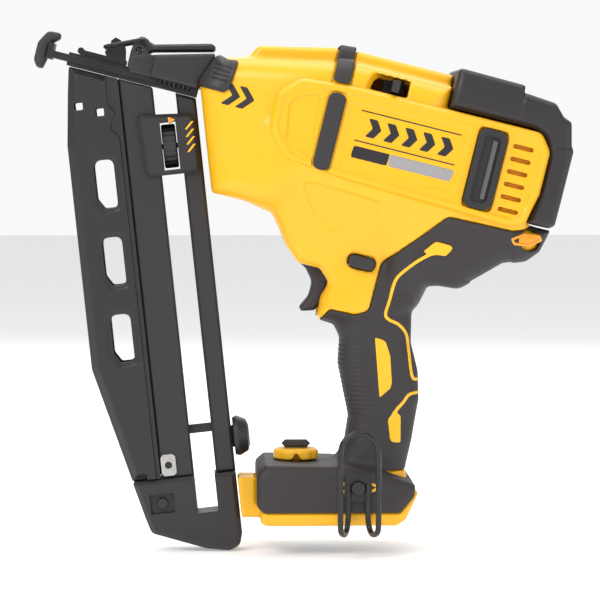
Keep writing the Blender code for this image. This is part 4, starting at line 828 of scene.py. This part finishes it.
def guard(n, y, z):
    """The magazine's front cover with its three windows, in the magazine's frame, where z runs up."""
    side = np.abs(y)
    edge = outline(n, z, [(-28.5, 3.9, 1), (-30.6, -10.8, 3), (-34, -40, 8), (-34, -165.9, 12), (-18.2, -230.7, 1),
                          (-2, -230.7, 0), (-2, -5.7, 0)])
    chamfer = 3.2 * (1 - ramp(-edge, 0, 5.0)) * (n < -10)
    made = both(edge, side - 11.5 + chamfer, 1.2)
    inner = both(edge + 2.2, side - 8.6)
    inner = both(inner, n - 30)
    hollow = either(inner, both(both(block(n, -10, 2), edge), side - 8.6))
    made = less(made, hollow)
    for row in range(3):
        middle = 63.4 + 43.3 * row
        window = outline(n, z, [(-20.5, 13.5 - middle, 4), (-9.4, 13.5 - middle, 4), (-9.4, -13.5 - middle, 3),
                                (-17, -13.5 - middle, 2), (-20.5, -8 - middle, 3)])
        made = less(made, window, 0.8)
        made = less(made, both(window - 2.2, 10.9 - side), 0.5)
    for left, high in ((-27.6, -16.6), (-16.2, -21)):
        made = less(made, both(oblong(n, z, (left, high - 4.4), (left + 4.6, high), 0.6), 8 - side), 0.3)
    step = outline(n, z, [(-9, 20, 0), (-9, -20, 3), (-5, -24, 3), (-8.5, -30, 3), (-8.5, -34, 3), (-4.5, -38, 3),
                          (-4.5, -236, 0), (4, -236, 0), (4, 20, 0)])
    made = less(made, both(step, 10.4 - side), 0.4)
    made = less(made, both(block(n, -31.5, -2), both(side - 1.3, -30 - z)))
    return made


made = mould("guard_cover", guard, (-35, -12, -232), (-1, 12, 6), 0.6, COATED, MAGAZINE)
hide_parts("magazine_guard")


def warning_stripes(n, z):
    stripes = None
    for k in range(4):
        top = -33.5 - 4.2 * k
        bar = outline(n, z, [(31.6, top - 4.6, 0.3), (33.2, top - 4.6, 0.3), (37.6, top, 0.3), (36, top, 0.3)])
        stripes = bar if stripes is None else np.minimum(stripes, bar)
    return stripes


def depth_arrow(n, z):
    return outline(n, z, [(23.4, -29.6, 0.3), (23.4, -33.8, 0.3), (27.6, -31.7, 0.3)])


def small_mark(name, flat, low, high, face, material):
    def shape(n, y, z):
        return np.maximum(flat(n, z), np.abs(np.abs(y) - face) - 0.2)
    made = mould(name, shape, (low[0], -face - 1, low[1]), (high[0], face + 1, high[1]), 0.35, material, MAGAZINE)


small_mark("bar_stripes", warning_stripes, (31, -51), (39, -32), 13.8, LINE_YELLOW)
small_mark("depth_arrow", depth_arrow, (23, -35), (28.5, -29), 13.8, ORANGE)


# ---------------------------------------------------------------- trigger, wheels, knobs, hook


def trigger(u, y, v):
    side = np.abs(y)
    flat = outline(u, v, [(72.5, -80.2, 2), (76, -74, 2), (92, -73.5, 3), (95, -80, 3), (92.5, -101, 3),
                          (89, -105.5, 2), (82.0, -107.6, 1.5), (80.6, -105.4, 1.5), (84.2, -98, 8),
                          (84.2, -90, 8),
                          (79, -83.6, 5)])
    made = both(flat + 0.25 * (side / 8.5) ** 4 * 4, side - 8.4, 2.4)
    return less(made, np.hypot(u - 88.5, v + 76.5) - 1.9)


def selector_ring(x, y, z):
    reach = np.hypot(x - 15, y)
    turn = np.arctan2(y, x - 15)
    dish = reach - 12.9 + 0.5 * np.maximum(np.cos(8 * turn), 0) * ramp(reach, 10, 12) + 1.2 * ramp(z, 38, 40.5)
    ring = both(dish, block(z, 34.2, 40.2), 1.2)
    notch = both(outline(x, z, [(11, 33, 0), (15, 38.4, 1), (19, 33, 0)]), 8 - np.abs(y))
    return either(less(ring, notch, 0.4), both(reach - 2.4, block(z, 24.6, 36)), 0.3)


def knurled_wheel(n, y, z):
    reach = np.hypot(y, z + 46)
    turn = np.arctan2(y, z + 46)
    ridge = reach - 12.3 + 0.55 * (0.5 - 0.5 * np.cos(22 * turn))
    made = both(ridge, block(n, 18.8, 26.7), 0.9)
    return less(made, reach - 1.9, 0.2)


def lock_pill(u, y, v):
    edge = oblong(u, v, (100, -76), (115, -69), 3.4)
    return both(edge, np.maximum(-y - 24.3, y - 18.4), 1.4)


made = mould("finger_trigger", trigger, (71, -10, -109), (97, 10, -72), 0.5, RUBBER, DRIVE, "trigger")
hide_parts("trigger")
made = mould("selector_ring", selector_ring, (0, -15, 23), (30, 15, 42), 0.5, YELLOW, WORLD, "selector")
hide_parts("selector_knob")
made = mould("knurled_depth_wheel", knurled_wheel, (18, -14, -60), (28, 14, -32), 0.45, RUBBER, MAGAZINE,
             "depth_wheel")
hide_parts("depth_wheel")
made = mould("lock_off_pill", lock_pill, (98, -26, -79), (117, 20, -66), 0.5, PLAIN_RUBBER, DRIVE, "lock_button")
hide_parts("lock_button")


def hook_route():
    """The hook's wire, from its eye down, out, up over the arch and back."""
    left, right = HOOK_X - 10.4, HOOK_X + 10.2
    face, out = -41.6, -55.6
    down = [(HOOK_X - 5, face, 24), (HOOK_X - 5.2, face, 14), (HOOK_X - 5.6, face, 4)]
    bend = [(HOOK_X - 6.4, -43.2, -1.0), (HOOK_X - 8, -48.6, -2.9), (left + 0.4, -54, -0.6), (left, out, 5)]
    up = [(left, out, 20), (left, out, 40)]
    arch = [(HOOK_X - 10.2 * math.cos(a), out, 43.2 + 10.2 * math.sin(a)) for a in np.radians(range(20, 90, 20))]
    half = down + bend + up + arch
    return smooth_line(half + [(2 * HOOK_X - x, y, z) for x, y, z in half[::-1]], 5)


made = tube_along("belt_hook_wire", hook_route(), HOOK_WIRE, WIRE)
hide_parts("belt_hook")


def hook_eyelet(x, y, z):
    half = 7.6
    made = both(oblong(x, z, (HOOK_X - half, HOOK_Z - half), (HOOK_X + half, HOOK_Z + half), 5),
                block(y, -42.2, -39.7), 0.5)
    return less(made, np.hypot(x - HOOK_X, z - HOOK_Z) - 2.3)


made = mould("hook_clamp", hook_eyelet, (39, -43, 13), (57, -39, 31), 0.45, COATED)


def contact_tip(u, y, v):
    flat = outline(u, v, [(-84.9, 7.6, 1.5), (-85.2, 10.9, 3), (-92.4, 10.4, 4), (-96.5, 3, 5), (-96.5, -7, 5),
                          (-94, -10.7, 2), (-90.9, -10.7, 1.5), (-89.6, -5.4, 2), (-89.8, 3.4, 3),
                          (-87.2, 5.6, 2)])
    made = both(flat, np.abs(y) - 7, 2.2)
    return less(made, np.hypot(y, v) - 2.6)


made = mould("no_mar_hook", contact_tip, (-98, -8, -12), (-84, 8, 12), 0.45, RUBBER, DRIVE, "contact_trip")
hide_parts("no_mar_tip")


def vent_bar(side_sign):
    def shape(u, y, v):
        side = side_sign * y
        bar = both(both(oblong(u, v, (160.6, -22.5), (163.2, 10.5), 1.0), side - 40.2, 0.5), 37.6 - side)
        back = both(both(oblong(u, v, (155, -25), (165, 13), 1), side - 38.3), 37.4 - side)
        return either(bar, back)
    return shape


mould_pair("vent_bar", vent_bar, (154, -26), (166, 14), (36, 42), 0.45, LENS, place=DRIVE)


# ---------------------------------------------------------------- CAD nodes that keep their shape


def dress(names, material, bevel=0.35, turn=32):
    """Gives CAD nodes their finish and a small round on each edge."""
    for name in names.split():
        piece = nodes[name]
        piece.data.materials.clear()
        piece.data.materials.append(material)
        piece.data.shade_smooth()
        piece.modifiers.new("weld", "WELD").merge_threshold = 1e-6
        flat = piece.modifiers.new("flatten", "DECIMATE")
        flat.decimate_type = "DISSOLVE"
        flat.angle_limit = math.radians(1)
        if bevel:
            edge = piece.modifiers.new("edges", "BEVEL")
            edge.width = bevel * MM
            edge.segments = 2
            edge.limit_method = "ANGLE"
            edge.angle_limit = math.radians(turn)
        piece.modifiers.new("shading", "WEIGHTED_NORMAL").keep_sharp = True


dress("depth_cage magazine_end_cap selector_cap latch_lever", PLAIN_BLACK)
dress("magazine_channel magazine_rear_bar pusher", PLAIN_BLACK)
dress("nosepiece nose_door contact_trip latch_pin latch_bail contact_trip_spring", DARK_STEEL, 0.25)
dress("magazine_leaf trigger_pin", STEEL, 0.2)
dress("magazine_screw belt_hook_screw housing_screw_1 housing_screw_2 housing_screw_3 housing_screw_4", WIRE, 0.2)
dress("stall_lever", PLAIN_RUBBER)
dress("vent_frame_left vent_frame_right", PLAIN_BLACK)
dress("trigger_spring return_spring_left return_spring_right", STEEL, 0)
dress("battery_receptacle terminal_block trigger_switch", PLAIN_BLACK, 0.2)
dress("controller_board", BOARD, 0.1)
dress("drive_frame", ALUMINIUM, 0.3)
dress("flywheel driver bearing_left bearing_right return_rail_left return_rail_right", STEEL, 0.2)
dress("motor_stator", COPPER, 0.2)
dress("driver_bumper", PLAIN_RUBBER, 0.3)


# ---------------------------------------------------------------- floor, lights and camera

FLOOR_Z = cad_low.z - 0.0006
FLOOR_REACH, FLOOR_GLOW = 6, 0.32


def stage_plane(name, corners, material):
    mesh = bpy.data.meshes.new(name)
    mesh.from_pydata(corners, [], [(0, 1, 2, 3)])
    mesh.materials.append(material)
    made = bpy.data.objects.new(name, mesh)
    bpy.context.scene.collection.objects.link(made)
    return made


floor_paint = bpy.data.materials.new("pale_floor")
floor_paint.use_nodes = True
floor_paint.node_tree.nodes["Principled BSDF"].inputs["Base Color"].default_value = (0.93, 0.93, 0.935, 1)
floor_paint.node_tree.nodes["Principled BSDF"].inputs["Roughness"].default_value = 0.7
floor_paint.node_tree.nodes["Principled BSDF"].inputs["Emission Color"].default_value = (1, 1, 1, 1)
floor_paint.node_tree.nodes["Principled BSDF"].inputs["Emission Strength"].default_value = FLOOR_GLOW
stage_plane("floor",
            [(x * FLOOR_REACH, y * FLOOR_REACH, FLOOR_Z) for x, y in ((-1, -1), (1, -1), (1, 1), (-1, 1))],
            floor_paint)


def soft_light(name, place, aim, size, power):
    data = bpy.data.lights.new(name, "AREA")
    data.shape = "RECTANGLE"
    data.size, data.size_y = size
    data.energy = power
    made = bpy.data.objects.new(name, data)
    bpy.context.scene.collection.objects.link(made)
    made.location = place
    made.rotation_euler = (Vector(aim) - Vector(place)).to_track_quat("-Z", "Y").to_euler()
    return made


centre = (cad_low + cad_high) / 2
soft_light("key", (-0.75, -1.1, 1.15), centre, (0.9, 0.7), 15)
soft_light("fill", (1.2, -1.0, 0.45), centre, (1.0, 1.0), 4)
soft_light("top", (0.1, 0.15, 1.3), centre, (1.2, 0.8), 9)
soft_light("back_rim", (0.2, 1.3, 0.9), centre, (1.6, 0.7), 8)
sky = bpy.data.worlds.new("studio")
sky.use_nodes = True
sky.node_tree.nodes["Background"].inputs["Color"].default_value = (0.97, 0.975, 0.985, 1)
SKY_LIGHT, SKY_SEEN = 0.5, 0.95  # what lights the tool, and what shows behind it
sky.node_tree.nodes["Background"].inputs["Strength"].default_value = SKY_LIGHT
seen = sky.node_tree.nodes.new("ShaderNodeBackground")
seen.inputs["Color"].default_value = (1, 1, 1, 1)
seen.inputs["Strength"].default_value = SKY_SEEN
ray = sky.node_tree.nodes.new("ShaderNodeLightPath")
choice = sky.node_tree.nodes.new("ShaderNodeMixShader")
sky.node_tree.links.new(ray.outputs["Is Camera Ray"], choice.inputs["Fac"])
sky.node_tree.links.new(sky.node_tree.nodes["Background"].outputs["Background"], choice.inputs[1])
sky.node_tree.links.new(seen.outputs["Background"], choice.inputs[2])
sky.node_tree.links.new(choice.outputs["Shader"], sky.node_tree.nodes["World Output"].inputs["Surface"])
bpy.context.scene.world = sky
bpy.context.scene.view_settings.view_transform = "Standard"

VIEW_TURN, VIEW_RISE, VIEW_FAR, LENS = -2.0, 3.0, 1.6, 170.5
AIM = Vector((0.0174, 0.0, 0.1236))
camera = bpy.data.objects.new("camera", bpy.data.cameras.new("camera"))
bpy.context.scene.collection.objects.link(camera)
turn, rise = math.radians(VIEW_TURN), math.radians(VIEW_RISE)
back = Vector((math.sin(turn) * math.cos(rise), -math.cos(turn) * math.cos(rise), math.sin(rise)))
camera.location = AIM + back * VIEW_FAR
camera.rotation_euler = (-back).to_track_quat("-Z", "Y").to_euler()
camera.data.lens = LENS
camera.data.sensor_width = 36.0
camera.data.clip_end = 50
bpy.context.scene.camera = camera
